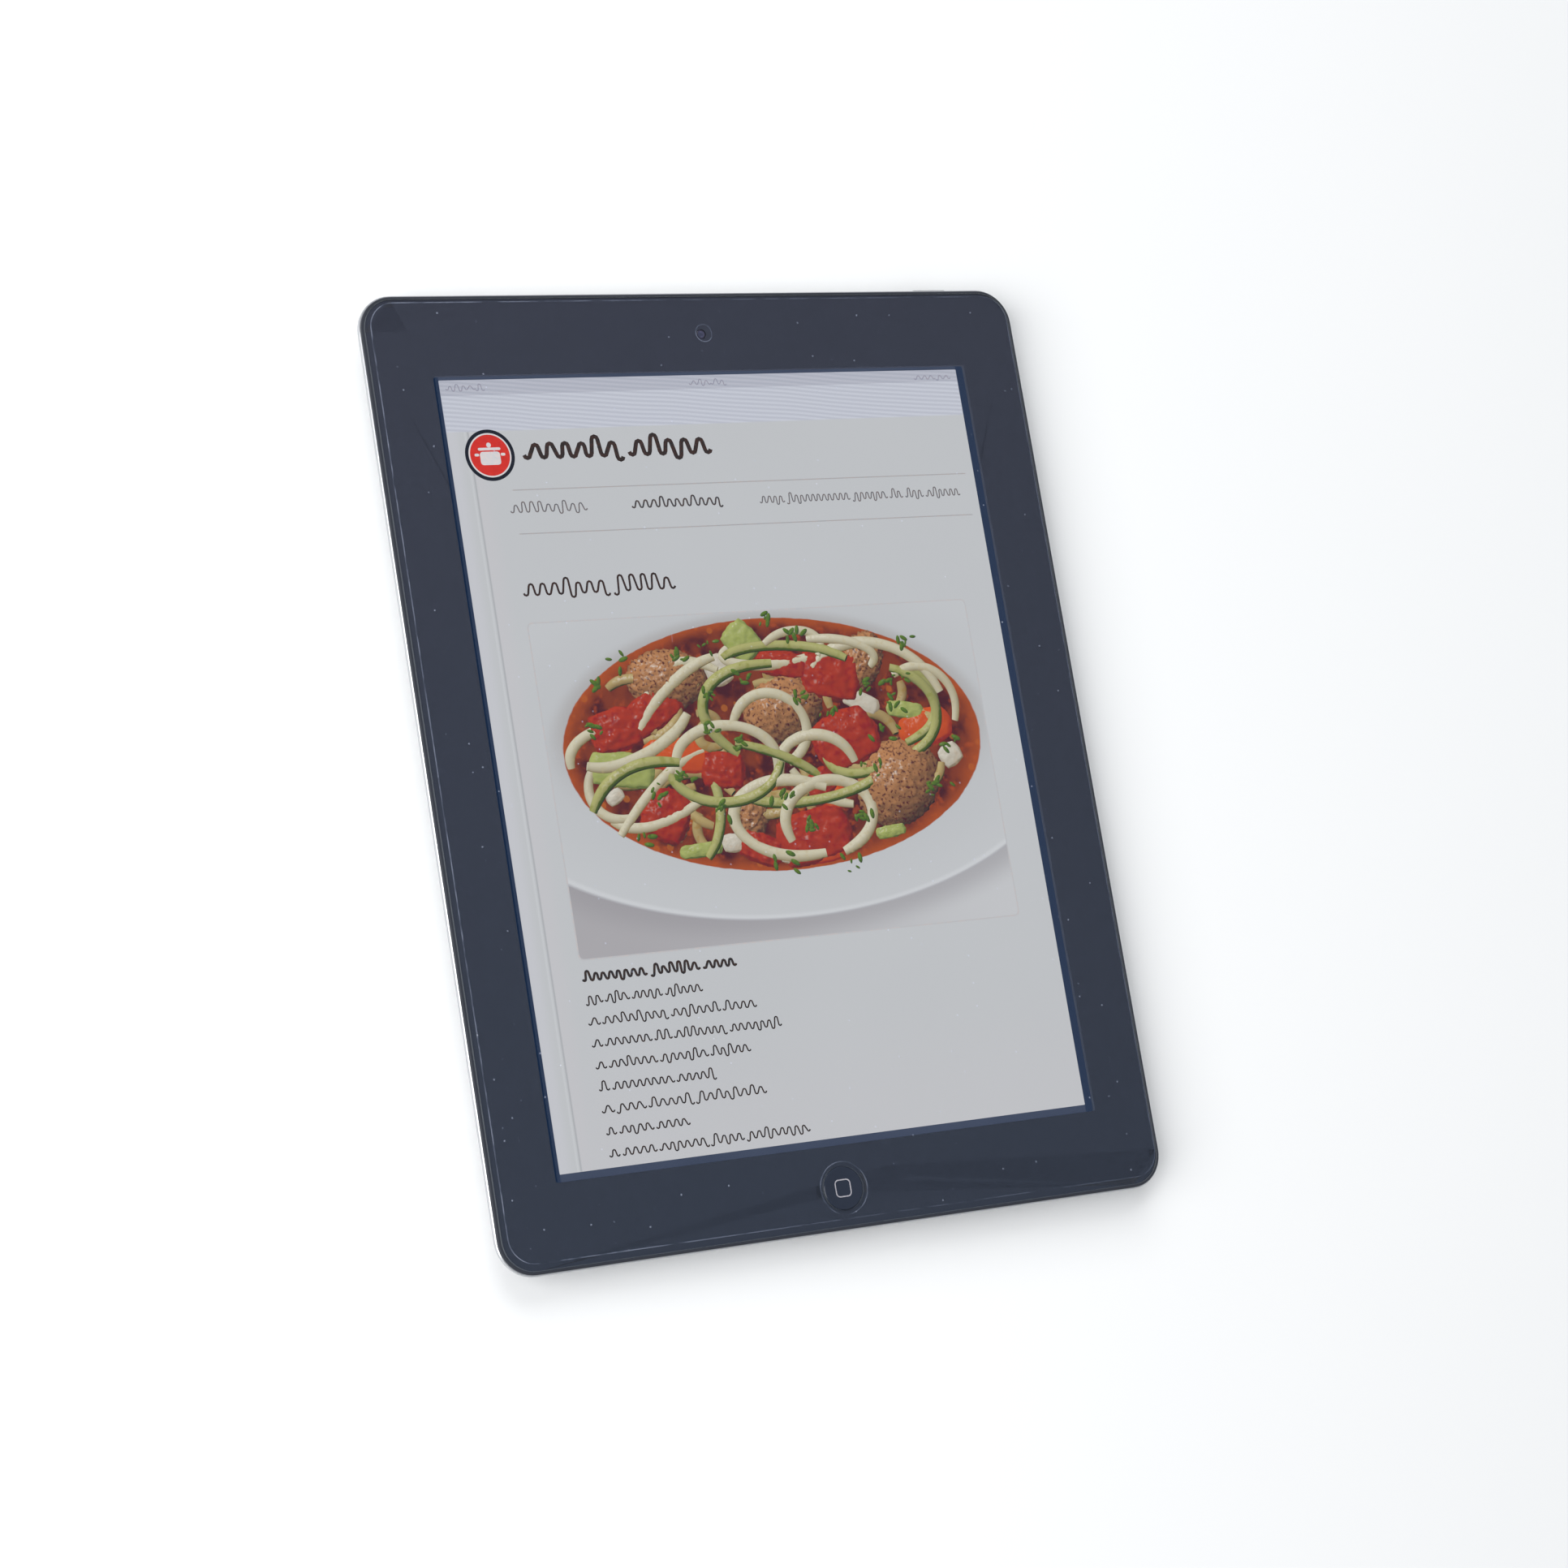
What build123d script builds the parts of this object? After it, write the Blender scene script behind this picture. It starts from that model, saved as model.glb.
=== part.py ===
from build123d import *

import math
import os

# A tablet computer lying flat on its back, in millimetres. The origin is the middle of the flat
# rear face, +X is right and +Y is up as the screen is read, and +Z comes out of the screen.

# Body
BODY_W = 185.7
BODY_L = 241.2
BODY_R = 9.2
HALF_W = BODY_W / 2
HALF_L = BODY_L / 2
WALL = 1.1
RIM_TOP = 8.6
RIM_W = 0.37
LEDGE_TOP = 7.9
LEDGE_W = 2.8
BACK_ARC = 41.0
BACK_INSET = 22.0
BACK_CORNER_R = 13.0
BACK_STEPS = 6
SHOULDER_R = 2.0
FINE_EDGE = 0.15
CUT_LEN = 10.0

# Layers over the screen, as heights above the rear face
GLASS_TOP = 9.4
GLASS_T = 0.85
INK_T = 0.05
SENSOR_T = 0.45
GLUE_T = 0.1
FILM_T = 0.15
GLASS_INSET = 1.05
GLASS_EDGE = 0.2
SURROUND_GAP = 0.03
SURROUND_LIP = 0.05
SURROUND_TOP = 9.05
GLUE_INSET = 0.2
GLASS_BOTTOM = GLASS_TOP - GLASS_T
INK_BOTTOM = GLASS_BOTTOM - INK_T
SENSOR_BOTTOM = INK_BOTTOM - SENSOR_T

# The loose film on the glass, a little off centre
FILM_LEFT = -90.2
FILM_RIGHT = 91.1
FILM_BOTTOM = -117.8
FILM_TOP = 118.6
FILM_R = 6.8
FILM_HOME_R = 6.4
FILM_CAM_X = 0.3
FILM_CAM_R = 2.2

# Display module
LCD_W = 166.4
LCD_L = 208.6
LCD_Y = 0.3
LCD_BOTTOM = 5.2
PAN_T = 0.3
LIGHT_GUIDE_TOP = 6.6
CELL_TOP = 7.7
BEZEL_TOP = 7.9
ACTIVE_W = 147.5
ACTIVE_L = 196.6
ACTIVE_Y = 0.7
WINDOW_W = 150.8
WINDOW_L = 199.1
SHEET_Y = 0.9
LCD_POST_X = 85.6
LCD_POST_Y = 97.0
LCD_POST_FOOT = 3.6
PAN_EAR_W = 6.0
PAN_EAR_L = 4.4
BEZEL_OPEN_W = 154.0
BEZEL_OPEN_L = 201.6
BEZEL_OPEN_Y = 0.2
LAYER_GAP = 0.1
ACTIVE_T = 0.06
WINDOW_Y = 0.05
SENSOR_W = 164.6
SENSOR_L = 207.0
GASKET_W = 164.0
GASKET_L = 206.6
GASKET_OPEN_W = 158.0
GASKET_OPEN_L = 203.4

# Home key
HOME_Y = -110.1
HOME_HOLE_R = 5.5
HOME_R = 5.3
HOME_TOP = 9.25
HOME_FLANGE_R = 5.9
HOME_FLANGE_TOP = 8.05
HOME_FLANGE_T = 0.5
HOME_DISH = 0.25
HOME_DISH_R = 4.9
HOME_EDGE = 0.12
HOME_STEM_R = 1.5
HOME_STEM_BOTTOM = 6.75
HOME_SEAL_R = 7.2
HOME_SEAL_HOLE_R = 6.1
HOME_POST_X = 15.2
HOME_POST_Y = -112.0
HOME_POST_R = 1.3
HOME_POST_FOOT = 3.0
HOME_PLATE_X = 17.0
HOME_PLATE_Y0 = -116.3
HOME_PLATE_Y1 = -105.2
HOME_PLATE_BOTTOM = 5.5
HOME_PLATE_TOP = 5.95
SWITCH_FOOT_T = 0.15
SWITCH_DOME_T = 0.2

# Keys in the sides
KEY_Z = 6.9
KEY_H = 1.65
KEY_FLANGE_H = 1.8
KEY_FLANGE_T = 0.6
KEY_EDGE = 0.3
KEY_NUB_LEN = 0.4
SLOT_H = 1.85
SLOT_GAP = 0.15
POWER_X = 70.0
POWER_LEN = 10.3
POWER_FLANGE_X = 6.5
POWER_FLANGE_Y = 117.0
POWER_PROUD = 0.45
POWER_NUB_R = 0.7
ROCKER_Y = 68.0
ROCKER_LEN = 19.7
ROCKER_PIVOT_X = 87.6
ROCKER_HOLE_R = 0.5
ROCKER_PIN_R = 0.45
ROCKER_FLANGE_Y = 10.6
ROCKER_PROUD = 0.4
ROCKER_NUB_Y = 7.5
ROCKER_NUB_R = 0.6
SIDE_FLANGE_X = 89.0
LOCK_Y = 84.0
LOCK_LEN = 3.2
LOCK_TRAVEL = 1.8
LOCK_PROUD = 0.3
LOCK_FLANGE_Y = 3.6
LOCK_REST_Y = LOCK_Y - LOCK_TRAVEL / 2
BRACKET_TOP = 7.8
BRACKET_FOOT = 6.1

# Sockets, cameras and sound
JACK_X = -72.0
JACK_Z = 5.5
JACK_BORE_R = 1.8
JACK_BARREL_R = 2.2
JACK_MOUTH_Y = 116.0
JACK_BACK_Y = 104.9
JACK_BACK_T = 0.3
JACK_CLEAR = 0.05
JACK_RING_T = 0.2
DOCK_W = 24.2
DOCK_BOTTOM = 2.05
DOCK_TOP = 5.15
DOCK_SLOT_W = 21.8
DOCK_SLOT_H = 2.3
DOCK_BACK_Y = -102.5
DOCK_EAR_X = 15.0
DOCK_EAR_Y = -101.7
DOCK_EAR_BOTTOM = 2.8
DOCK_EAR_TOP = 3.4
DOCK_BACK_T = 1.2
DOCK_CLEAR = 0.1
DOCK_MID = (DOCK_BOTTOM + DOCK_TOP) / 2
DOCK_TONGUE_T = 0.7
DOCK_PINS = 30
DOCK_PIN_PITCH = 0.66
DOCK_PIN_T = 0.12
DOCK_LEAD_Z = 3.2
FRONT_CAM_Y = 109.6
FRONT_CAM_HOLE_R = 1.35
FRONT_CAM_PLATE_BOTTOM = 4.2
FRONT_CAM_PLATE_T = 0.4
FRONT_CAM_TOP = 7.6
FRONT_CAM_POST_X = 5.0
FRONT_CAM_POST_R = 1.2
FRONT_CAM_POST_FOOT = 2.4
LENS_R = 1.3
LENS_BOTTOM = 7.9
LENS_T = 0.5
REAR_CAM_X = 68.0
REAR_CAM_Y = 97.0
REAR_CAM_HOLE_R = 3.6
REAR_CAM_BODY = 8.0
REAR_CAM_WINDOW_R = 2.4
REAR_CAM_WINDOW_Z = 0.45
REAR_CAM_WINDOW_T = 0.55
REAR_CAM_BOTTOM = 1.5
REAR_CAM_TOP = 5.0
GRILLE_X = 47.0
GRILLE_Y = -95.0
GRILLE_PITCH = 2.0
GRILLE_HOLE_R = 0.6
GRILLE_COLUMNS = 13
GRILLE_ROWS = 3
MIC_HOLE_R = 0.5

# Power and logic
CELL_W = 40.5
CELL_L = 160.0
CELL_X = (-53.75, -12.25, 29.25)
CELL_Y = -5.0
CELL_BOTTOM = 1.3
CELL_TOP_Z = 4.8
SHIELD_X0 = 54.6
SHIELD_X1 = 76.4
SHIELD_TOP = 5.0
SHIELD_T = 0.2
BOARD_X0 = 52.5
BOARD_X1 = 79.5
BOARD_Y0 = -80.0
BOARD_Y1 = 86.0
BOARD_BOTTOM = 3.0
BOARD_TOP = 3.8
BOARD_SCREW_X = (55.5, 77.0)
BOARD_SCREW_Y = (-76.5, 82.5)

# Small screws, all alike
SCREW_R = 0.6
SCREW_HEAD_R = 1.25
SCREW_HEAD_T = 0.55
SCREW_LEN = 1.9
BOSS_R = 1.6

SHEET_T = 0.15


def slab(width, length, radius, bottom, top, centre=(0.0, 0.0), mode=Mode.ADD):
    """Add or cut a flat slab with round corners between two heights."""
    with BuildSketch(Plane.XY.offset(bottom)) as outline:
        with Locations(centre):
            RectangleRounded(width, length, radius)
    extrude(outline.sketch, amount=top - bottom, mode=mode)


def block(low, high, mode=Mode.ADD):
    """Add or cut a square block between two opposite corners."""
    size = [b - a for a, b in zip(low, high)]
    middle = [(a + b) / 2 for a, b in zip(low, high)]
    with Locations(tuple(middle)):
        Box(*size, mode=mode)


def bar(start, direction, radius, length, mode=Mode.ADD):
    """Add or cut a round bar that runs from a point along a direction."""
    with BuildSketch(Plane(origin=start, z_dir=direction)) as circle:
        Circle(radius)
    extrude(circle.sketch, amount=length, mode=mode)


def pill(start, x_dir, direction, width, height, length, mode=Mode.ADD):
    """Add or cut a bar with a round-ended section that runs along a direction."""
    with BuildSketch(Plane(origin=start, x_dir=x_dir, z_dir=direction)) as outline:
        SlotOverall(width, height)
    extrude(outline.sketch, amount=length, mode=mode)


def strip(points, plane, width, mode=Mode.ADD):
    """Add a bent flat strip: its side view on a plane, drawn out to a width."""
    with BuildSketch(plane) as side:
        with BuildLine():
            path = Polyline(*points)
            offset(path, amount=SHEET_T / 2, side=Side.BOTH)
        make_face()
    extrude(side.sketch, amount=width, mode=mode)


def back_curve(arc, inset_top, corner_top, corner_bottom, mode=Mode.ADD):
    """Loft the curve from the flat back up to the side through outlines set along an arc."""
    span = math.asin((BACK_INSET - inset_top) / arc)
    outlines = []
    for step in range(BACK_STEPS + 1):
        angle = span * step / BACK_STEPS
        share = math.sin(angle) / math.sin(span)
        inset = BACK_INSET - arc * math.sin(angle)
        corner = corner_bottom + (corner_top - corner_bottom) * share
        with BuildSketch(Plane.XY.offset(BACK_ARC - arc * math.cos(angle))) as outline:
            RectangleRounded(BODY_W - 2 * inset, BODY_L - 2 * inset, corner)
        outlines.append(outline.sketch)
    loft(outlines, mode=mode)
    return BACK_ARC - arc * math.cos(span)


def inset_slab(inset, bottom, top, mode=Mode.ADD):
    """Add or cut a slab whose outline is the body's, moved in by an inset."""
    slab(BODY_W - 2 * inset, BODY_L - 2 * inset, BODY_R - inset, bottom, top, mode=mode)


def screw(x, y, seat):
    """Add one small pan-head screw whose head sits on a height."""
    bar((x, y, seat - SCREW_LEN), (0, 0, 1), SCREW_R, SCREW_LEN)
    bar((x, y, seat), (0, 0, 1), SCREW_HEAD_R, SCREW_HEAD_T)
    recess = SCREW_HEAD_T * 0.6
    for length, width in ((1.3, 0.32), (0.32, 1.3)):
        with Locations((x, y, seat + SCREW_HEAD_T)):
            Box(length, width, 2 * recess, mode=Mode.SUBTRACT)


LCD_POSTS = [(x, y) for x in (-LCD_POST_X, LCD_POST_X) for y in (-LCD_POST_Y, LCD_POST_Y)]
LCD_SCREWS = [(x, y, LCD_BOTTOM + PAN_T) for x, y in LCD_POSTS]
BOARD_SCREWS = [(x, y, BOARD_TOP) for x in BOARD_SCREW_X for y in BOARD_SCREW_Y]
DOCK_SCREWS = [(x, DOCK_EAR_Y, DOCK_EAR_TOP) for x in (-DOCK_EAR_X, DOCK_EAR_X)]

# ------------------------------------------------------------------ body shape
# The outside of the body without any opening, which also trims the sockets.
with BuildPart() as outside:
    side_bottom = back_curve(BACK_ARC, 0.0, BODY_R, BACK_CORNER_R)
    slab(BODY_W, BODY_L, BODY_R, side_bottom, RIM_TOP)
    # The soft shoulder where the curved back meets the upright side.
    shoulder = outside.edges().filter_by_position(Axis.Z, side_bottom - 0.01, side_bottom + 0.01)
    fillet(shoulder, SHOULDER_R)

# -------------------------------------------------------------------- rear case
with BuildPart() as rear_case:
    add(outside.part)
    chamfer(rear_case.faces().sort_by(Axis.Z)[-1].edges(), FINE_EDGE)
    ledge_bottom = back_curve(
        BACK_ARC - WALL, LEDGE_W, BODY_R - LEDGE_W, BACK_CORNER_R - WALL, mode=Mode.SUBTRACT
    )
    inset_slab(LEDGE_W, ledge_bottom, LEDGE_TOP, mode=Mode.SUBTRACT)
    inset_slab(RIM_W, LEDGE_TOP, RIM_TOP, mode=Mode.SUBTRACT)
    # Posts for the display, the board, the dock socket, the home key plate and the camera plate.
    for x, y in LCD_POSTS:
        bar((x, y, LCD_POST_FOOT), (0, 0, 1), BOSS_R, LCD_BOTTOM - LCD_POST_FOOT)
    for x in BOARD_SCREW_X:
        for y in BOARD_SCREW_Y:
            bar((x, y, WALL / 2), (0, 0, 1), BOSS_R, BOARD_BOTTOM - WALL / 2)
    for x in (-DOCK_EAR_X, DOCK_EAR_X):
        bar((x, DOCK_EAR_Y, WALL / 2), (0, 0, 1), BOSS_R, DOCK_EAR_BOTTOM - WALL / 2)
    for x in (-HOME_POST_X, HOME_POST_X):
        bar(
            (x, HOME_POST_Y, HOME_POST_FOOT), (0, 0, 1),
            HOME_POST_R, HOME_PLATE_BOTTOM - HOME_POST_FOOT,
        )
    for x in (-FRONT_CAM_POST_X, FRONT_CAM_POST_X):
        bar(
            (x, FRONT_CAM_Y, FRONT_CAM_POST_FOOT), (0, 0, 1),
            FRONT_CAM_POST_R, FRONT_CAM_PLATE_BOTTOM - FRONT_CAM_POST_FOOT,
        )
    # Screw holes, jack and dock openings, key slots, microphone, camera and speaker holes.
    for x, y, seat in LCD_SCREWS + BOARD_SCREWS + DOCK_SCREWS:
        bar((x, y, seat - SCREW_LEN), (0, 0, 1), SCREW_R, SCREW_LEN, mode=Mode.SUBTRACT)
    bar(
        (JACK_X, JACK_BACK_Y, JACK_Z), (0, 1, 0),
        JACK_BARREL_R + JACK_CLEAR, 3 * CUT_LEN, mode=Mode.SUBTRACT,
    )
    block(
        (-DOCK_W / 2 - DOCK_CLEAR, -HALF_L - CUT_LEN, DOCK_BOTTOM - DOCK_CLEAR / 2),
        (DOCK_W / 2 + DOCK_CLEAR, DOCK_BACK_Y, DOCK_TOP + DOCK_CLEAR / 2),
        mode=Mode.SUBTRACT,
    )
    pill(
        (POWER_X, HALF_L - 6.0, KEY_Z), (1, 0, 0), (0, 1, 0),
        POWER_LEN + 2 * SLOT_GAP, SLOT_H, CUT_LEN, mode=Mode.SUBTRACT,
    )
    for y, length in ((ROCKER_Y, ROCKER_LEN), (LOCK_Y, LOCK_LEN + LOCK_TRAVEL)):
        pill(
            (HALF_W - 5.0, y, KEY_Z), (0, 1, 0), (1, 0, 0),
            length + 2 * SLOT_GAP, SLOT_H, CUT_LEN, mode=Mode.SUBTRACT,
        )
    bar((0, HALF_L - 5.0, KEY_Z), (0, 1, 0), MIC_HOLE_R, CUT_LEN, mode=Mode.SUBTRACT)
    bar((REAR_CAM_X, REAR_CAM_Y, -1.0), (0, 0, 1), REAR_CAM_HOLE_R, 4.0, mode=Mode.SUBTRACT)
    slab(
        REAR_CAM_BODY + 0.4, REAR_CAM_BODY + 0.4, 1.0, 1.45, 3.0,
        centre=(REAR_CAM_X, REAR_CAM_Y), mode=Mode.SUBTRACT,
    )
    with BuildSketch(Plane.XY.offset(-1.0)) as grille:
        with Locations((GRILLE_X, GRILLE_Y)):
            with GridLocations(GRILLE_PITCH, GRILLE_PITCH, GRILLE_COLUMNS, GRILLE_ROWS):
                Circle(GRILLE_HOLE_R)
    extrude(grille.sketch, amount=3.0, mode=Mode.SUBTRACT)

# ------------------------------------------------- black surround under the glass
with BuildPart() as surround:
    inset_slab(RIM_W + SURROUND_GAP, LEDGE_TOP, SURROUND_TOP)
    chamfer(surround.faces().sort_by(Axis.Z)[-1].edges(), FINE_EDGE)
    inset_slab(
        GLASS_INSET - SURROUND_LIP, INK_BOTTOM - GLUE_T, SURROUND_TOP, mode=Mode.SUBTRACT
    )
    inset_slab(LEDGE_W, LEDGE_TOP, SURROUND_TOP, mode=Mode.SUBTRACT)

with BuildPart() as glass_adhesive:
    inset_slab(GLASS_INSET + GLUE_INSET, INK_BOTTOM - GLUE_T, INK_BOTTOM)
    inset_slab(LEDGE_W, INK_BOTTOM - GLUE_T, INK_BOTTOM, mode=Mode.SUBTRACT)

# -------------------------------------------------------------------- front glass
with BuildPart() as cover_glass:
    inset_slab(GLASS_INSET, GLASS_BOTTOM, GLASS_TOP)
    chamfer(cover_glass.faces().sort_by(Axis.Z)[-1].edges(), GLASS_EDGE)
    bar((0, HOME_Y, GLASS_BOTTOM), (0, 0, 1), HOME_HOLE_R, GLASS_T, mode=Mode.SUBTRACT)

# The black print on the back of the glass, with the screen window and the camera hole left clear.
with BuildPart() as ink_mask:
    inset_slab(GLASS_INSET, INK_BOTTOM, GLASS_BOTTOM)
    slab(
        WINDOW_W, WINDOW_L, 0.6, INK_BOTTOM, GLASS_BOTTOM,
        centre=(0, WINDOW_Y), mode=Mode.SUBTRACT,
    )
    bar((0, HOME_Y, INK_BOTTOM), (0, 0, 1), HOME_HOLE_R, INK_T, mode=Mode.SUBTRACT)
    bar((0, FRONT_CAM_Y, INK_BOTTOM), (0, 0, 1), FRONT_CAM_HOLE_R, INK_T, mode=Mode.SUBTRACT)

with BuildPart() as touch_sensor:
    slab(SENSOR_W, SENSOR_L, 2.0, SENSOR_BOTTOM, INK_BOTTOM, centre=(0, SHEET_Y))

# A loose protective film laid on the glass, cut out at the home key and the front camera.
with BuildPart() as screen_film:
    slab(
        FILM_RIGHT - FILM_LEFT, FILM_TOP - FILM_BOTTOM, FILM_R, GLASS_TOP, GLASS_TOP + FILM_T,
        centre=((FILM_LEFT + FILM_RIGHT) / 2, (FILM_BOTTOM + FILM_TOP) / 2),
    )
    bar((0, HOME_Y, GLASS_TOP), (0, 0, 1), FILM_HOME_R, FILM_T, mode=Mode.SUBTRACT)
    bar((FILM_CAM_X, FRONT_CAM_Y, GLASS_TOP), (0, 0, 1), FILM_CAM_R, FILM_T, mode=Mode.SUBTRACT)

# ----------------------------------------------------------------- display module
with BuildPart() as lcd_pan:
    slab(LCD_W, LCD_L, 1.0, LCD_BOTTOM, LCD_BOTTOM + PAN_T, centre=(0, LCD_Y))
    for side in (-1, 1):
        for y in (-LCD_POST_Y, LCD_POST_Y):
            slab(
                PAN_EAR_W, PAN_EAR_L, 1.0, LCD_BOTTOM, LCD_BOTTOM + PAN_T,
                centre=(side * (LCD_POST_X - 1.2), y),
            )
            bar((side * LCD_POST_X, y, LCD_BOTTOM), (0, 0, 1), SCREW_R, PAN_T, mode=Mode.SUBTRACT)

with BuildPart() as lcd_bezel:
    slab(LCD_W, LCD_L, 1.0, LCD_BOTTOM + PAN_T, BEZEL_TOP, centre=(0, LCD_Y))
    slab(
        LCD_W - 2 * PAN_T, LCD_L - 2 * PAN_T, 0.7, LCD_BOTTOM + PAN_T, CELL_TOP,
        centre=(0, LCD_Y), mode=Mode.SUBTRACT,
    )
    slab(
        BEZEL_OPEN_W, BEZEL_OPEN_L, 0.5, CELL_TOP, BEZEL_TOP,
        centre=(0, BEZEL_OPEN_Y), mode=Mode.SUBTRACT,
    )

with BuildPart() as light_guide:
    inner = 2 * (PAN_T + LAYER_GAP)
    slab(
        LCD_W - inner, LCD_L - inner, 0.6, LCD_BOTTOM + PAN_T, LIGHT_GUIDE_TOP,
        centre=(0, LCD_Y),
    )

with BuildPart() as lcd_cell:
    inner = 2 * (PAN_T + 4 * LAYER_GAP)
    slab(LCD_W - inner, LCD_L - inner, 0.4, LIGHT_GUIDE_TOP, CELL_TOP, centre=(0, LCD_Y))

with BuildPart() as active_screen:
    slab(ACTIVE_W, ACTIVE_L, 0.2, CELL_TOP, CELL_TOP + ACTIVE_T, centre=(0, ACTIVE_Y))

with BuildPart() as dust_gasket:
    slab(GASKET_W, GASKET_L, 2.0, BEZEL_TOP, SENSOR_BOTTOM, centre=(0, SHEET_Y))
    slab(
        GASKET_OPEN_W, GASKET_OPEN_L, 1.0, BEZEL_TOP, SENSOR_BOTTOM,
        centre=(0, SHEET_Y), mode=Mode.SUBTRACT,
    )

# ----------------------------------------------------------------------- home key
with BuildPart() as home_button:
    flange_bottom = HOME_FLANGE_TOP - HOME_FLANGE_T
    bar((0, HOME_Y, flange_bottom), (0, 0, 1), HOME_FLANGE_R, HOME_FLANGE_T)
    bar((0, HOME_Y, HOME_FLANGE_TOP), (0, 0, 1), HOME_R, HOME_TOP - HOME_FLANGE_TOP)
    chamfer(home_button.faces().sort_by(Axis.Z)[-1].edges(), HOME_EDGE)
    bar(
        (0, HOME_Y, HOME_STEM_BOTTOM), (0, 0, 1),
        HOME_STEM_R, flange_bottom - HOME_STEM_BOTTOM,
    )
    dish_r = (HOME_DISH_R**2 + HOME_DISH**2) / (2 * HOME_DISH)
    with Locations((0, HOME_Y, HOME_TOP - HOME_DISH + dish_r)):
        Sphere(dish_r, mode=Mode.SUBTRACT)

with BuildPart() as home_gasket:
    seal_bottom = BEZEL_TOP + 0.05
    bar((0, HOME_Y, seal_bottom), (0, 0, 1), HOME_SEAL_R, INK_BOTTOM - seal_bottom)
    bar((0, HOME_Y, BEZEL_TOP), (0, 0, 1), HOME_SEAL_HOLE_R, 1.0, mode=Mode.SUBTRACT)

with BuildPart() as home_plate:
    block(
        (-HOME_PLATE_X, HOME_PLATE_Y0, HOME_PLATE_BOTTOM),
        (HOME_PLATE_X, HOME_PLATE_Y1, HOME_PLATE_TOP),
    )
    fillet(home_plate.edges().filter_by(Axis.Z), 1.5)

with BuildPart() as home_switch:
    foot_top = HOME_PLATE_TOP + SWITCH_FOOT_T
    slab(4.4, 4.4, 0.4, HOME_PLATE_TOP, foot_top, centre=(0, HOME_Y))
    with Locations((0, HOME_Y, foot_top)):
        Cone(1.8, 1.0, SWITCH_DOME_T, align=(Align.CENTER, Align.CENTER, Align.MIN))

with BuildPart() as home_flex:
    slab(22.0, 2.0, 0.4, HOME_PLATE_TOP, HOME_PLATE_TOP + SHEET_T, centre=(13.3, HOME_Y))
    block((22.0, -111.1, 4.6), (22.2, -109.1, HOME_PLATE_TOP + SHEET_T))

# -------------------------------------------------------------------- power button
with BuildPart() as power_button:
    pill(
        (POWER_X, POWER_FLANGE_Y + KEY_FLANGE_T, KEY_Z), (1, 0, 0), (0, 1, 0),
        POWER_LEN, KEY_H, HALF_L + POWER_PROUD - POWER_FLANGE_Y - KEY_FLANGE_T,
    )
    fillet(power_button.faces().sort_by(Axis.Y)[-1].edges(), KEY_EDGE)
    block(
        (POWER_X - POWER_FLANGE_X, POWER_FLANGE_Y, KEY_Z - KEY_FLANGE_H / 2),
        (POWER_X + POWER_FLANGE_X, POWER_FLANGE_Y + KEY_FLANGE_T, KEY_Z + KEY_FLANGE_H / 2),
    )
    bar((POWER_X, POWER_FLANGE_Y - KEY_NUB_LEN, KEY_Z), (0, 1, 0), POWER_NUB_R, KEY_NUB_LEN)

with BuildPart() as power_plate:
    block((60.0, 113.6, 5.3), (80.0, 114.2, BRACKET_TOP))
    for x in (60.0, 79.0):
        block((x, 114.2, BRACKET_FOOT), (x + 1.0, HALF_L - LEDGE_W, BRACKET_TOP))

with BuildPart() as power_switch:
    block((POWER_X - 2.2, 114.2, 6.0), (POWER_X + 2.2, 115.9, 7.7))
    bar((POWER_X, 115.9, KEY_Z), (0, 1, 0), 0.8, 0.25)

# ------------------------------------------------- volume rocker and lock switch
with BuildPart() as volume_rocker:
    pill(
        (SIDE_FLANGE_X + KEY_FLANGE_T, ROCKER_Y, KEY_Z), (0, 1, 0), (1, 0, 0),
        ROCKER_LEN, KEY_H, HALF_W + ROCKER_PROUD - SIDE_FLANGE_X - KEY_FLANGE_T,
    )
    fillet(volume_rocker.faces().sort_by(Axis.X)[-1].edges(), KEY_EDGE)
    block(
        (SIDE_FLANGE_X, ROCKER_Y - ROCKER_FLANGE_Y, KEY_Z - KEY_FLANGE_H / 2),
        (SIDE_FLANGE_X + KEY_FLANGE_T, ROCKER_Y + ROCKER_FLANGE_Y, KEY_Z + KEY_FLANGE_H / 2),
    )
    block(
        (ROCKER_PIVOT_X - 0.9, ROCKER_Y - 1.0, KEY_Z - KEY_FLANGE_H / 2),
        (SIDE_FLANGE_X, ROCKER_Y + 1.0, KEY_Z + KEY_FLANGE_H / 2),
    )
    bar((ROCKER_PIVOT_X, ROCKER_Y, 5.0), (0, 0, 1), ROCKER_HOLE_R, 4.0, mode=Mode.SUBTRACT)
    for y in (ROCKER_Y - ROCKER_NUB_Y, ROCKER_Y + ROCKER_NUB_Y):
        bar((SIDE_FLANGE_X - KEY_NUB_LEN, y, KEY_Z), (1, 0, 0), ROCKER_NUB_R, KEY_NUB_LEN)

with BuildPart() as rocker_pin:
    bar((ROCKER_PIVOT_X, ROCKER_Y, 5.2), (0, 0, 1), ROCKER_PIN_R, 2.6)

with BuildPart() as side_plate:
    block((84.6, 54.0, 4.9), (85.2, 91.6, BRACKET_TOP))
    block((85.2, ROCKER_Y - 1.2, 5.2), (88.3, ROCKER_Y + 1.2, 5.8))
    for y in (54.0, 90.6):
        block((85.2, y, BRACKET_FOOT), (HALF_W - LEDGE_W, y + 1.0, BRACKET_TOP))
    bar((ROCKER_PIVOT_X, ROCKER_Y, 5.0), (0, 0, 1), ROCKER_PIN_R, 1.5, mode=Mode.SUBTRACT)

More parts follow.
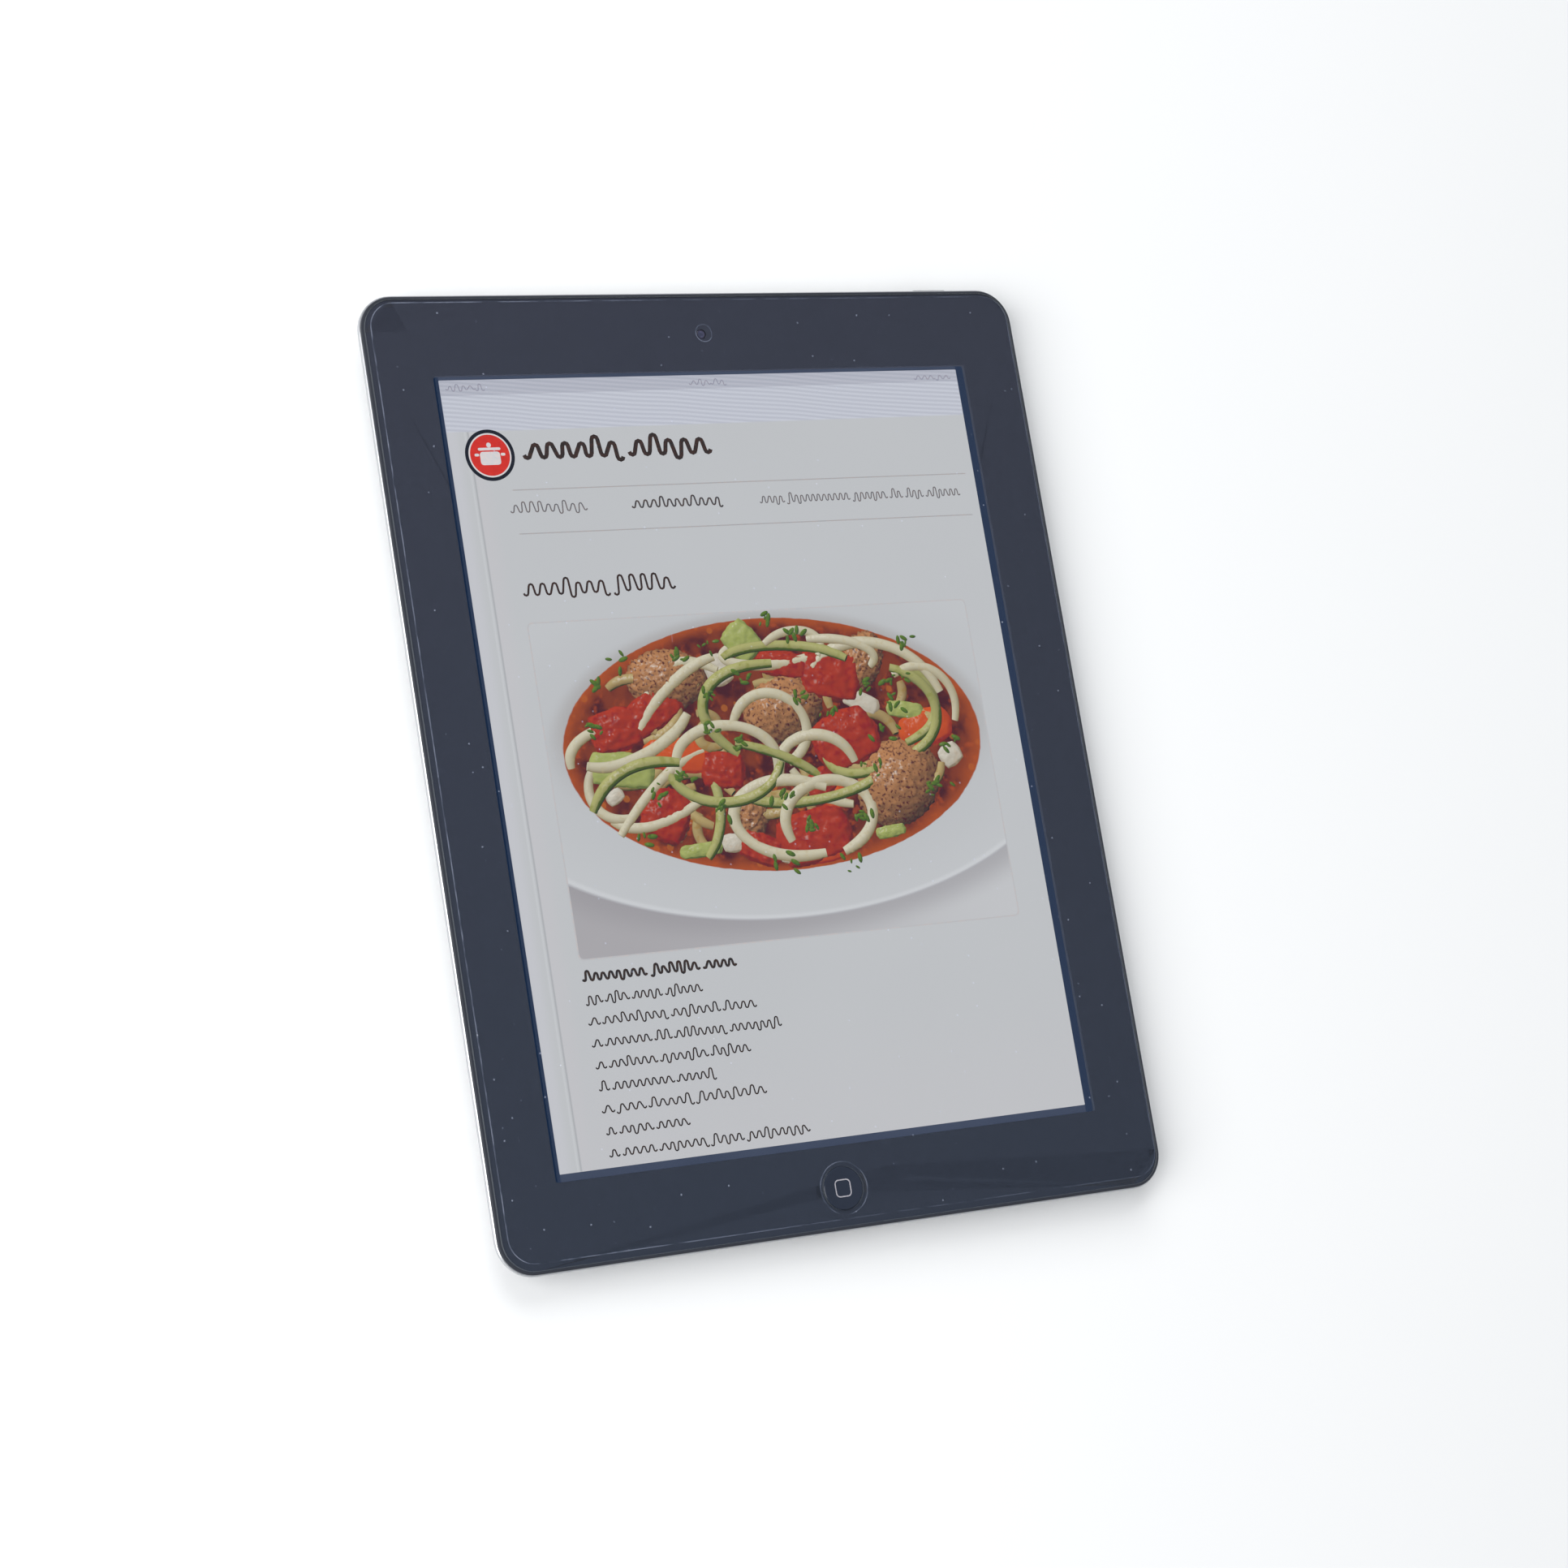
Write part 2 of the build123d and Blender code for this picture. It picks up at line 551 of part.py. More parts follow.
with BuildPart() as volume_switches:
    for y in (ROCKER_Y - ROCKER_NUB_Y, ROCKER_Y + ROCKER_NUB_Y):
        block((85.2, y - 1.3, 6.0), (88.1, y + 1.3, 7.7))
        bar((88.1, y, KEY_Z), (1, 0, 0), 0.7, 0.2)

with BuildPart() as lock_slider:
    pill(
        (SIDE_FLANGE_X + KEY_FLANGE_T, LOCK_REST_Y, KEY_Z), (0, 1, 0), (1, 0, 0),
        LOCK_LEN, KEY_H, HALF_W + LOCK_PROUD - SIDE_FLANGE_X - KEY_FLANGE_T,
    )
    fillet(lock_slider.faces().sort_by(Axis.X)[-1].edges(), 0.25)
    block(
        (SIDE_FLANGE_X, LOCK_REST_Y - LOCK_FLANGE_Y, KEY_Z - KEY_FLANGE_H / 2),
        (SIDE_FLANGE_X + KEY_FLANGE_T, LOCK_REST_Y + LOCK_FLANGE_Y, KEY_Z + KEY_FLANGE_H / 2),
    )
    block((87.3, LOCK_REST_Y - 0.5, 6.6), (SIDE_FLANGE_X, LOCK_REST_Y + 0.5, 7.2))

with BuildPart() as lock_switch:
    block((85.2, LOCK_Y - 4.0, 5.6), (88.6, LOCK_Y + 4.4, 7.75))
    block(
        (86.9, LOCK_REST_Y - 0.8, 6.4), (88.6, LOCK_REST_Y + LOCK_TRAVEL + 0.8, 7.4),
        mode=Mode.SUBTRACT,
    )

with BuildPart() as side_flex:
    strip(
        [(84.52, 7.4), (84.52, 4.5), (79.2, 4.5), (79.2, BOARD_TOP + SHEET_T / 2)],
        Plane.XZ.offset(-64.0), 4.0,
    )

# ---------------------------------------------------------------- headphone jack
with BuildPart() as headphone_jack:
    block((JACK_X - 3.2, JACK_BACK_Y, 3.3), (JACK_X + 3.2, 110.8, 7.7))
    bar((JACK_X, JACK_BACK_Y, JACK_Z), (0, 1, 0), JACK_BARREL_R, JACK_MOUTH_Y - JACK_BACK_Y)
    bar(
        (JACK_X, JACK_BACK_Y + JACK_BACK_T, JACK_Z), (0, 1, 0), JACK_BORE_R, 2 * CUT_LEN,
        mode=Mode.SUBTRACT,
    )

# A thin metal liner ring round the mouth, cut to the slope of the back.
with BuildPart() as jack_ring:
    ring_r = JACK_BARREL_R + JACK_CLEAR
    bar((JACK_X, JACK_MOUTH_Y, JACK_Z), (0, 1, 0), ring_r, CUT_LEN)
    bar(
        (JACK_X, JACK_MOUTH_Y, JACK_Z), (0, 1, 0),
        ring_r - JACK_RING_T, CUT_LEN, mode=Mode.SUBTRACT,
    )
    add(outside.part, mode=Mode.INTERSECT)

# ------------------------------------------------------------------- dock socket
with BuildPart() as dock_shell:
    block((-DOCK_W / 2, -HALF_L, DOCK_BOTTOM), (DOCK_W / 2, DOCK_BACK_Y, DOCK_TOP))
    block(
        (-DOCK_SLOT_W / 2, -HALF_L, DOCK_MID - DOCK_SLOT_H / 2),
        (DOCK_SLOT_W / 2, DOCK_BACK_Y - DOCK_BACK_T, DOCK_MID + DOCK_SLOT_H / 2),
        mode=Mode.SUBTRACT,
    )
    add(outside.part, mode=Mode.INTERSECT)
    for side in (-1, 1):
        slab(
            5.2, 4.4, 0.8, DOCK_EAR_BOTTOM, DOCK_EAR_TOP,
            centre=(side * (DOCK_W / 2 + 2.55), DOCK_EAR_Y),
        )
        bar((side * DOCK_EAR_X, DOCK_EAR_Y, 2.0), (0, 0, 1), SCREW_R, 3.0, mode=Mode.SUBTRACT)

with BuildPart() as dock_tongue:
    block(
        (-10.2, -111.0, DOCK_MID - DOCK_TONGUE_T / 2),
        (10.2, DOCK_BACK_Y - DOCK_BACK_T, DOCK_MID + DOCK_TONGUE_T / 2),
    )

with BuildPart() as dock_contacts:
    with Locations((0, -107.2, DOCK_MID + DOCK_TONGUE_T / 2 + DOCK_PIN_T / 2)):
        with GridLocations(DOCK_PIN_PITCH, 1.0, DOCK_PINS, 1):
            Box(0.36, 6.6, DOCK_PIN_T)

with BuildPart() as dock_flex:
    lead_top = DOCK_LEAD_Z + SHEET_T
    block((-8.0, DOCK_BACK_Y, DOCK_LEAD_Z), (8.0, -86.5, lead_top))
    block((8.0, -89.5, DOCK_LEAD_Z), (58.0, -86.5, lead_top))
    block((54.0, -86.5, DOCK_LEAD_Z), (58.0, BOARD_Y0, lead_top))

# ---------------------------------------------------------------- front camera
with BuildPart() as camera_plate:
    slab(
        14.0, 4.6, 1.0, FRONT_CAM_PLATE_BOTTOM, FRONT_CAM_PLATE_BOTTOM + FRONT_CAM_PLATE_T,
        centre=(0, FRONT_CAM_Y),
    )

with BuildPart() as front_camera:
    slab(
        6.6, 5.4, 0.4, FRONT_CAM_PLATE_BOTTOM + FRONT_CAM_PLATE_T, FRONT_CAM_TOP,
        centre=(0, FRONT_CAM_Y),
    )
    bar((0, FRONT_CAM_Y, FRONT_CAM_TOP), (0, 0, 1), 2.0, 0.85)
    bar((0, FRONT_CAM_Y, LENS_BOTTOM), (0, 0, 1), LENS_R, 1.0, mode=Mode.SUBTRACT)

with BuildPart() as front_lens:
    bar((0, FRONT_CAM_Y, LENS_BOTTOM), (0, 0, 1), LENS_R, LENS_T)
    fillet(front_lens.faces().sort_by(Axis.Z)[-1].edges(), 0.2)

with BuildPart() as light_sensor:
    slab(2.4, 2.4, 0.3, 7.3, INK_BOTTOM, centre=(-12.0, FRONT_CAM_Y))

# ----------------------------------------------------------------- rear camera
with BuildPart() as camera_ring:
    bar((REAR_CAM_X, REAR_CAM_Y, 0.25), (0, 0, 1), REAR_CAM_HOLE_R - 0.08, 1.2)
    bar(
        (REAR_CAM_X, REAR_CAM_Y, 0.0), (0, 0, 1),
        REAR_CAM_WINDOW_R, REAR_CAM_WINDOW_Z + REAR_CAM_WINDOW_T, mode=Mode.SUBTRACT,
    )
    bar((REAR_CAM_X, REAR_CAM_Y, 0.9), (0, 0, 1), 1.6, 1.0, mode=Mode.SUBTRACT)

with BuildPart() as camera_window:
    bar(
        (REAR_CAM_X, REAR_CAM_Y, REAR_CAM_WINDOW_Z), (0, 0, 1),
        REAR_CAM_WINDOW_R, REAR_CAM_WINDOW_T,
    )

with BuildPart() as rear_camera:
    slab(
        REAR_CAM_BODY, REAR_CAM_BODY, 0.8, REAR_CAM_BOTTOM, REAR_CAM_TOP,
        centre=(REAR_CAM_X, REAR_CAM_Y),
    )
    bar((REAR_CAM_X, REAR_CAM_Y, REAR_CAM_BOTTOM), (0, 0, 1), 1.5, 1.0, mode=Mode.SUBTRACT)

# ------------------------------------------------------- speaker and microphone
with BuildPart() as speaker_mesh:
    slab(29.0, 7.2, 1.5, WALL, WALL + 0.2, centre=(GRILLE_X, GRILLE_Y))

with BuildPart() as speaker_box:
    block((30.0, -101.8, WALL + 0.2), (64.0, -90.2, 5.0))
    block((31.0, -100.8, 2.0), (63.0, -91.2, 4.4), mode=Mode.SUBTRACT)
    block((34.0, -98.0, 1.0), (60.0, -92.0, 2.0), mode=Mode.SUBTRACT)

with BuildPart() as microphone:
    block((-2.2, 113.6, 6.05), (2.2, HALF_L - LEDGE_W, 7.6))
    bar((0, HALF_L - LEDGE_W - 0.6, KEY_Z), (0, 1, 0), 0.4, 1.0, mode=Mode.SUBTRACT)

# ----------------------------------------------------------------------- battery
with BuildPart() as battery_pads:
    for x in CELL_X:
        slab(CELL_W - 8.0, CELL_L - 16.0, 2.0, WALL, CELL_BOTTOM, centre=(x, CELL_Y))


def battery_cell(x):
    """One flat pouch cell with a folded seam along its top end."""
    with BuildPart() as cell:
        slab(CELL_W, CELL_L, 1.5, CELL_BOTTOM, CELL_TOP_Z, centre=(x, CELL_Y))
        fillet(cell.faces().sort_by(Axis.Z)[-1].edges(), 0.8)
        fillet(cell.faces().sort_by(Axis.Z)[0].edges(), 0.8)
        block(
            (x - 14.0, CELL_Y + CELL_L / 2, 2.6),
            (x + 14.0, CELL_Y + CELL_L / 2 + 2.0, 2.9),
        )
    return cell.part


battery_left = battery_cell(CELL_X[0])
battery_middle = battery_cell(CELL_X[1])
battery_right = battery_cell(CELL_X[2])

with BuildPart() as battery_board:
    block((-66.0, 77.0, 2.2), (42.0, 84.0, 3.0))
    for x in CELL_X:
        block((x - 5.0, 78.5, 3.0), (x + 5.0, 82.5, 4.0))
    # Its lead to the underside of the logic board.
    block((41.0, 77.0, 2.3), (BOARD_X0 + 6.0, 80.6, 2.6))
    block((BOARD_X0 + 4.0, 77.0, 2.6), (BOARD_X0 + 6.0, 80.6, BOARD_BOTTOM))

# ------------------------------------------------------------------- logic board
with BuildPart() as logic_board:
    block((BOARD_X0, BOARD_Y0, BOARD_BOTTOM), (BOARD_X1, BOARD_Y1, BOARD_TOP))
    fillet(logic_board.edges().filter_by(Axis.Z), 1.0)
    for x in BOARD_SCREW_X:
        for y in BOARD_SCREW_Y:
            bar((x, y, BOARD_BOTTOM), (0, 0, 1), SCREW_R, 1.0, mode=Mode.SUBTRACT)

CHIPS = (
    (66.0, -30.0, 14.0, 14.0, 0.9),
    (66.0, -48.0, 12.0, 12.0, 0.8),
    (66.0, -62.0, 12.0, 9.0, 0.8),
    (66.0, 4.0, 10.0, 10.0, 0.8),
    (66.0, 20.0, 8.0, 8.0, 0.8),
    (62.0, 60.0, 7.0, 7.0, 0.7),
    (72.0, 72.0, 5.0, 5.0, 0.7),
)
with BuildPart() as board_chips:
    for x, y, width, length, height in CHIPS:
        slab(width, length, 0.3, BOARD_TOP, BOARD_TOP + height, centre=(x, y))


def shield_can(y0, y1):
    """A folded sheet-metal lid with an open bottom over part of the board."""
    with BuildPart() as can:
        block((SHIELD_X0, y0, BOARD_TOP), (SHIELD_X1, y1, SHIELD_TOP))
        fillet(can.edges().filter_by(Axis.Z), 0.6)
        block(
            (SHIELD_X0 + SHIELD_T, y0 + SHIELD_T, BOARD_TOP),
            (SHIELD_X1 - SHIELD_T, y1 - SHIELD_T, SHIELD_TOP - SHIELD_T),
            mode=Mode.SUBTRACT,
        )
    return can.part


processor_shield = shield_can(-70.0, -16.0)
radio_shield = shield_can(-8.0, 30.0)

with BuildPart() as heat_spreader:
    slab(20.0, 50.0, 1.0, SHIELD_TOP, SHIELD_TOP + SHEET_T, centre=(65.5, -43.0))

# ----------------------------------------------------- flat leads to the board
with BuildPart() as display_flex:
    block((60.0, 40.0, BOARD_TOP), (68.0, 44.0, 4.9))
    block((60.0, 40.0, 4.9), (68.0, 56.0, 4.9 + SHEET_T))
    block((60.0, 52.0, 4.9 + SHEET_T), (68.0, 56.0, LCD_BOTTOM))

with BuildPart() as touch_flex:
    strip(
        [(82.3 + SHEET_T, 8.3), (83.7, 8.3), (83.7, 4.2), (78.0, 4.2)],
        Plane.XZ.offset(50.0), 10.0,
    )
    block((76.6, -60.0, BOARD_TOP), (79.0, -50.0, 4.2 - SHEET_T / 2))

# ------------------------------------------------------- antennas and magnets
def antenna(x, y, width, length):
    """A plastic carrier with a raised strip conductor on top."""
    with BuildPart() as made:
        block((x - width / 2, y - length / 2, 1.4), (x + width / 2, y + length / 2, 4.4))
        fillet(made.edges().filter_by(Axis.Z), 1.0)
        block((x - width / 2 + 1.5, y - 0.8, 4.4), (x + width / 2 - 1.5, y + 0.8, 4.5))
    return made.part


wifi_antenna = antenna(-46.0, -96.0, 30.0, 10.0)
short_range_antenna = antenna(-48.0, 93.0, 22.0, 9.0)

MAGNET_L = 14.0
MAGNET_COUNT = 6
with BuildPart() as cover_magnets:
    with Locations((-85.9, 0.0, 6.3)):
        with GridLocations(1.0, 28.0, 1, MAGNET_COUNT):
            Box(3.0, MAGNET_L, 2.2)

# ----------------------------------------------------------------------- screws
with BuildPart() as small_screws:
    for x, y, seat in LCD_SCREWS + BOARD_SCREWS + DOCK_SCREWS:
        screw(x, y, seat)

# ----------------------------------------------------------------------- export
PIECES = {
    "rear_case": rear_case.part,
    "surround": surround.part,
    "glass_adhesive": glass_adhesive.part,
    "cover_glass": cover_glass.part,
    "ink_mask": ink_mask.part,
    "touch_sensor": touch_sensor.part,
    "screen_film": screen_film.part,
    "lcd_pan": lcd_pan.part,
    "lcd_bezel": lcd_bezel.part,
    "light_guide": light_guide.part,
    "lcd_cell": lcd_cell.part,
    "active_screen": active_screen.part,
    "dust_gasket": dust_gasket.part,
    "home_button": home_button.part,
    "home_gasket": home_gasket.part,
    "home_plate": home_plate.part,
    "home_switch": home_switch.part,
    "home_flex": home_flex.part,
    "power_button": power_button.part,
    "power_plate": power_plate.part,
    "power_switch": power_switch.part,
    "volume_rocker": volume_rocker.part,
    "rocker_pin": rocker_pin.part,
    "side_plate": side_plate.part,
    "volume_switches": volume_switches.part,
    "lock_slider": lock_slider.part,
    "lock_switch": lock_switch.part,
    "side_flex": side_flex.part,
    "headphone_jack": headphone_jack.part,
    "jack_ring": jack_ring.part,
    "dock_shell": dock_shell.part,
    "dock_tongue": dock_tongue.part,
    "dock_contacts": dock_contacts.part,
    "dock_flex": dock_flex.part,
    "camera_plate": camera_plate.part,
    "front_camera": front_camera.part,
    "front_lens": front_lens.part,
    "light_sensor": light_sensor.part,
    "camera_ring": camera_ring.part,
    "camera_window": camera_window.part,
    "rear_camera": rear_camera.part,
    "speaker_mesh": speaker_mesh.part,
    "speaker_box": speaker_box.part,
    "microphone": microphone.part,
    "battery_pads": battery_pads.part,
    "battery_left": battery_left,
    "battery_middle": battery_middle,
    "battery_right": battery_right,
    "battery_board": battery_board.part,
    "logic_board": logic_board.part,
    "board_chips": board_chips.part,
    "processor_shield": processor_shield,
    "radio_shield": radio_shield,
    "heat_spreader": heat_spreader.part,
    "display_flex": display_flex.part,
    "touch_flex": touch_flex.part,
    "wifi_antenna": wifi_antenna,
    "short_range_antenna": short_range_antenna,
    "cover_magnets": cover_magnets.part,
    "small_screws": small_screws.part,
}

os.makedirs("parts", exist_ok=True)
for label, piece in PIECES.items():
    piece.label = label
    export_step(piece, f"parts/{label}.step")
print(len(PIECES), "pieces")
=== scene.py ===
"""A tablet computer lying on its back, dressed around its fixed CAD frame, with a lit page on its screen."""

import logging
import math
import random
from collections.abc import Callable
from dataclasses import dataclass
from enum import Enum

import bpy
from mathutils import Matrix, Vector

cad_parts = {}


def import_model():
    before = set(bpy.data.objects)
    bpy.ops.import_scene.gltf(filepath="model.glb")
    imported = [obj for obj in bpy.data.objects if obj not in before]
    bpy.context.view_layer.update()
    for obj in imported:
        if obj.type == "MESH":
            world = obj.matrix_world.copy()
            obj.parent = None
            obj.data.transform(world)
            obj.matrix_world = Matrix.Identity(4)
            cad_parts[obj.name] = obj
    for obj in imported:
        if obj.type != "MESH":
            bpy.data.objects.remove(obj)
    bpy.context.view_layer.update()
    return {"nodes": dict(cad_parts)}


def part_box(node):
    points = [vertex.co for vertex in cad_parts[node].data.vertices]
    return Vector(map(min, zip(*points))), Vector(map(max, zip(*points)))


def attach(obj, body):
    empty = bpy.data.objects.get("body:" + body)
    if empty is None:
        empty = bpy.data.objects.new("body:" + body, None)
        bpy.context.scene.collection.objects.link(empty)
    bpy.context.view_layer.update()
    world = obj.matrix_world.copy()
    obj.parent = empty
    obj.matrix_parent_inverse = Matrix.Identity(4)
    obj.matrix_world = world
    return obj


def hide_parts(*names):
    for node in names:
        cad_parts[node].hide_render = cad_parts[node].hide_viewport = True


MM = 0.001
LOG = logging.getLogger("tablet")
Colour = tuple[float, float, float]
Point = tuple[float, float]

# What the film and the glass take from, and add to, the light that comes up from the screen.
CLEARNESS = 0.90
VEIL = (0.040, 0.047, 0.068)


def linear(red: float, green: float, blue: float) -> Colour:
    """Turn a display colour of 0 to 255 into linear light."""
    parts = [part / 255 for part in (red, green, blue)]
    return tuple(p / 12.92 if p <= 0.04045 else ((p + 0.055) / 1.055) ** 2.4 for p in parts)


def lit(red: float, green: float, blue: float) -> Colour:
    """Light that a screen point gives off to be seen as this colour through the film and glass."""
    seen = linear(red, green, blue)
    return tuple(max(0.0, (part - veil) / CLEARNESS) for part, veil in zip(seen, VEIL))


class Value:
    """A number in a shader. Arithmetic on it adds Math nodes."""

    def __init__(self, shader: "Shader", socket: bpy.types.NodeSocket) -> None:
        """Keep the socket and the shader that it belongs to."""
        self.shader = shader
        self.socket = socket

    def __add__(self, other: "Number") -> "Value":
        """Sum."""
        return self.shader.maths("ADD", self, other)

    __radd__ = __add__

    def __mul__(self, other: "Number") -> "Value":
        """Product."""
        return self.shader.maths("MULTIPLY", self, other)

    __rmul__ = __mul__

    def __sub__(self, other: "Number") -> "Value":
        """Difference."""
        return self.shader.maths("SUBTRACT", self, other)

    def __rsub__(self, other: "Number") -> "Value":
        """Difference from a number."""
        return self.shader.maths("SUBTRACT", other, self)

    def __truediv__(self, other: "Number") -> "Value":
        """Quotient."""
        return self.shader.maths("DIVIDE", self, other)

    def __pow__(self, other: "Number") -> "Value":
        """Power."""
        return self.shader.maths("POWER", self, other)

    def __abs__(self) -> "Value":
        """Size without sign."""
        return self.shader.maths("ABSOLUTE", self, 0.0)

    def below(self, other: "Number") -> "Value":
        """The smaller of two numbers."""
        return self.shader.maths("MINIMUM", self, other)

    def above(self, other: "Number") -> "Value":
        """The larger of two numbers."""
        return self.shader.maths("MAXIMUM", self, other)

    def rise(self, low: float, high: float) -> "Value":
        """A smooth step from 0 at low to 1 at high, which falls where low is above high."""
        node = self.shader.node(
            "ShaderNodeMapRange",
            {"interpolation_type": "SMOOTHSTEP"},
            {"Value": self, "From Min": min(low, high), "From Max": max(low, high)},
        )
        step = Value(self.shader, node.outputs["Result"])
        return step if low < high else 1 - step


Number = Value | float
Tint = bpy.types.NodeSocket | Colour


class Shader:
    """One material's nodes, with its coordinates in millimetres."""

    def __init__(self, name: str) -> None:
        """Start a material with a Principled surface."""
        self.material = bpy.data.materials.new(name)
        self.material.use_nodes = True
        self.tree = self.material.node_tree
        self.surface = self.tree.nodes["Principled BSDF"]
        self.place = self.node("ShaderNodeTexCoord").outputs["Object"]
        parts = self.node("ShaderNodeSeparateXYZ", {}, {0: self.place}).outputs
        self.x, self.y, self.z = (Value(self, part) * 1000 for part in parts)

    def node(self, kind: str, settings: dict | None = None, inputs: dict | None = None) -> bpy.types.Node:
        """Add a node.

        Args:
            kind: The node's type name.
            settings: Its own settings, set before its sockets.
            inputs: Socket values or links, by name or number.

        Returns:
            The new node.
        """
        made = self.tree.nodes.new(kind)
        for key, value in (settings or {}).items():
            setattr(made, key, value)
        for key, value in (inputs or {}).items():
            self.feed(made.inputs[key], value)
        return made

    def feed(self, socket: bpy.types.NodeSocket, value: object) -> None:
        """Link or set one socket."""
        if isinstance(value, Value):
            value = value.socket
        if isinstance(value, bpy.types.NodeSocket):
            self.tree.links.new(value, socket)
        elif isinstance(value, tuple) and len(value) == 3 and socket.type == "RGBA":
            socket.default_value = (*value, 1.0)
        else:
            socket.default_value = value

    def maths(self, operation: str, first: Number, second: Number) -> Value:
        """Add one Math node."""
        made = self.node("ShaderNodeMath", {"operation": operation}, {0: first, 1: second})
        return Value(self, made.outputs[0])

    def mix(self, share: Number, first: Tint, second: Tint) -> bpy.types.NodeSocket:
        """Mix two colours, the second by the share."""
        made = self.node("ShaderNodeMix", {"data_type": "RGBA"}, {0: share, 6: first, 7: second})
        return made.outputs[2]

    def noise(self, size: float, detail: float = 2.0, stretch: tuple | None = None) -> Value:
        """Cloudy noise from 0 to 1.

        Args:
            size: The size of its features in millimetres.
            detail: How many finer layers it has.
            stretch: Factors along X, Y and Z, where it isn't even.

        Returns:
            The noise.
        """
        place = self.place
        if stretch:
            place = self.node("ShaderNodeMapping", {}, {"Vector": place, "Scale": stretch}).outputs[0]
        made = self.node(
            "ShaderNodeTexNoise", {}, {"Vector": place, "Scale": 1 / (size * MM), "Detail": detail}
        )
        return Value(self, made.outputs[0])

    def cells(self, size: float) -> tuple[Value, Value]:
        """Cell pattern: the distance to the nearest cell's point, and a random number for that cell."""
        made = self.node("ShaderNodeTexVoronoi", {}, {"Vector": self.place, "Scale": 1 / (size * MM)})
        shade = self.node("ShaderNodeSeparateColor", {}, {0: made.outputs["Color"]})
        return Value(self, made.outputs["Distance"]), Value(self, shade.outputs[0])

    def flat(self) -> bpy.types.NodeSocket:
        """Each face's own normal, for a sheet that mirrors without any smoothing."""
        return self.node("ShaderNodeNewGeometry").outputs["True Normal"]

    def facing(self) -> Value:
        """The upward part of the face's own normal, 1 on a level top."""
        return Value(self, self.node("ShaderNodeSeparateXYZ", {}, {0: self.flat()}).outputs[2])

    def bump(self, height: Value, depth: float) -> bpy.types.NodeSocket:
        """A bumped normal whose relief is a depth in millimetres."""
        made = self.node("ShaderNodeBump", {}, {"Strength": 1.0, "Distance": depth * MM, "Height": height})
        return made.outputs[0]

    def set(self, **sockets: object) -> None:
        """Set the surface's sockets, with an underscore for each space."""
        for key, value in sockets.items():
            self.feed(self.surface.inputs[key.replace("_", " ")], value)

    def glow(self, colour: Tint) -> None:
        """Give off a colour evenly and reflect nothing, as the display's lit dots do."""
        self.set(
            Base_Color=(0.0, 0.0, 0.0), Specular_IOR_Level=0.0, Roughness=0.8,
            Emission_Color=colour, Emission_Strength=1.0,
        )


# Materials made so far, by name, and the names of the CAD objects, whose meshes stay untouched.
MADE: dict[str, bpy.types.Material] = {}
LOCKED: set[str] = set()


@dataclass(frozen=True)
class Finish:
    """How one kind of surface looks."""

    name: str

    def paint(self, s: Shader) -> None:
        """Build the nodes."""
        raise NotImplementedError

    def dress(self, *objects: bpy.types.Object) -> None:
        """Give objects this finish."""
        if self.name not in MADE:
            shader = Shader(self.name)
            self.paint(shader)
            MADE[self.name] = shader.material
        for thing in objects:
            if not thing.material_slots:
                thing.data.materials.append(None)
            for slot in thing.material_slots:
                slot.link = "OBJECT" if thing.name in LOCKED else "DATA"
                slot.material = MADE[self.name]


@dataclass(frozen=True)
class Moulded(Finish):
    """Plastic, rubber or resin with a fine moulded grain and slight wear."""

    colour: Colour = (0.02, 0.02, 0.022)
    roughness: float = 0.4
    grain: float = 0.12
    relief: float = 0.004

    def paint(self, s: Shader) -> None:
        """Grain, a little unevenness of colour, and rubbed patches that shine more."""
        grain = s.noise(self.grain, 3)
        patches = s.noise(9.0, 3)
        light = tuple(min(1.0, part * 1.5 + 0.004) for part in self.colour)
        s.set(
            Base_Color=s.mix(patches.rise(0.35, 0.75), self.colour, light),
            Roughness=self.roughness + (grain - 0.5) * 0.12 - patches.rise(0.5, 0.8) * 0.1,
            Normal=s.bump(grain, self.relief),
        )


@dataclass(frozen=True)
class Satin(Finish):
    """Soft-touch black that hardly shines."""

    def paint(self, s: Shader) -> None:
        """A fine tooth, a slow drift of tone and a weak shine."""
        tooth = s.noise(0.2, 3)
        s.set(
            Base_Color=s.mix(s.noise(15.0, 2), (0.024, 0.027, 0.036), (0.033, 0.036, 0.046)),
            Roughness=0.55 + (tooth - 0.5) * 0.1,
            Specular_IOR_Level=0.15,
            Normal=s.bump(tooth, 0.002),
        )


@dataclass(frozen=True)
class Blasted(Finish):
    """Anodised aluminium with a fine bead-blasted tooth."""

    colour: Colour = (0.58, 0.59, 0.61)

    def paint(self, s: Shader) -> None:
        """A tooth of tiny pits, broad faint tone, and brighter rubbed edges: the top rim is partly wear and
        partly a painted highlight.
        """
        tooth = s.noise(0.10, 4)
        tone = s.noise(30.0, 2)
        # The top rim is smoother from rubbing and painted brighter as a highlight.
        rubbed = s.z.rise(8.42, 8.6)
        dull = tuple(part * 0.93 for part in self.colour)
        bright = tuple(min(1.0, part * 1.12) for part in self.colour)
        s.set(
            Base_Color=s.mix(rubbed, s.mix(tone.rise(0.3, 0.7), dull, self.colour), bright),
            Metallic=0.9,
            Roughness=0.36 + (tooth - 0.5) * 0.16 - rubbed * 0.12,
            Normal=s.bump(tooth, 0.005),
        )


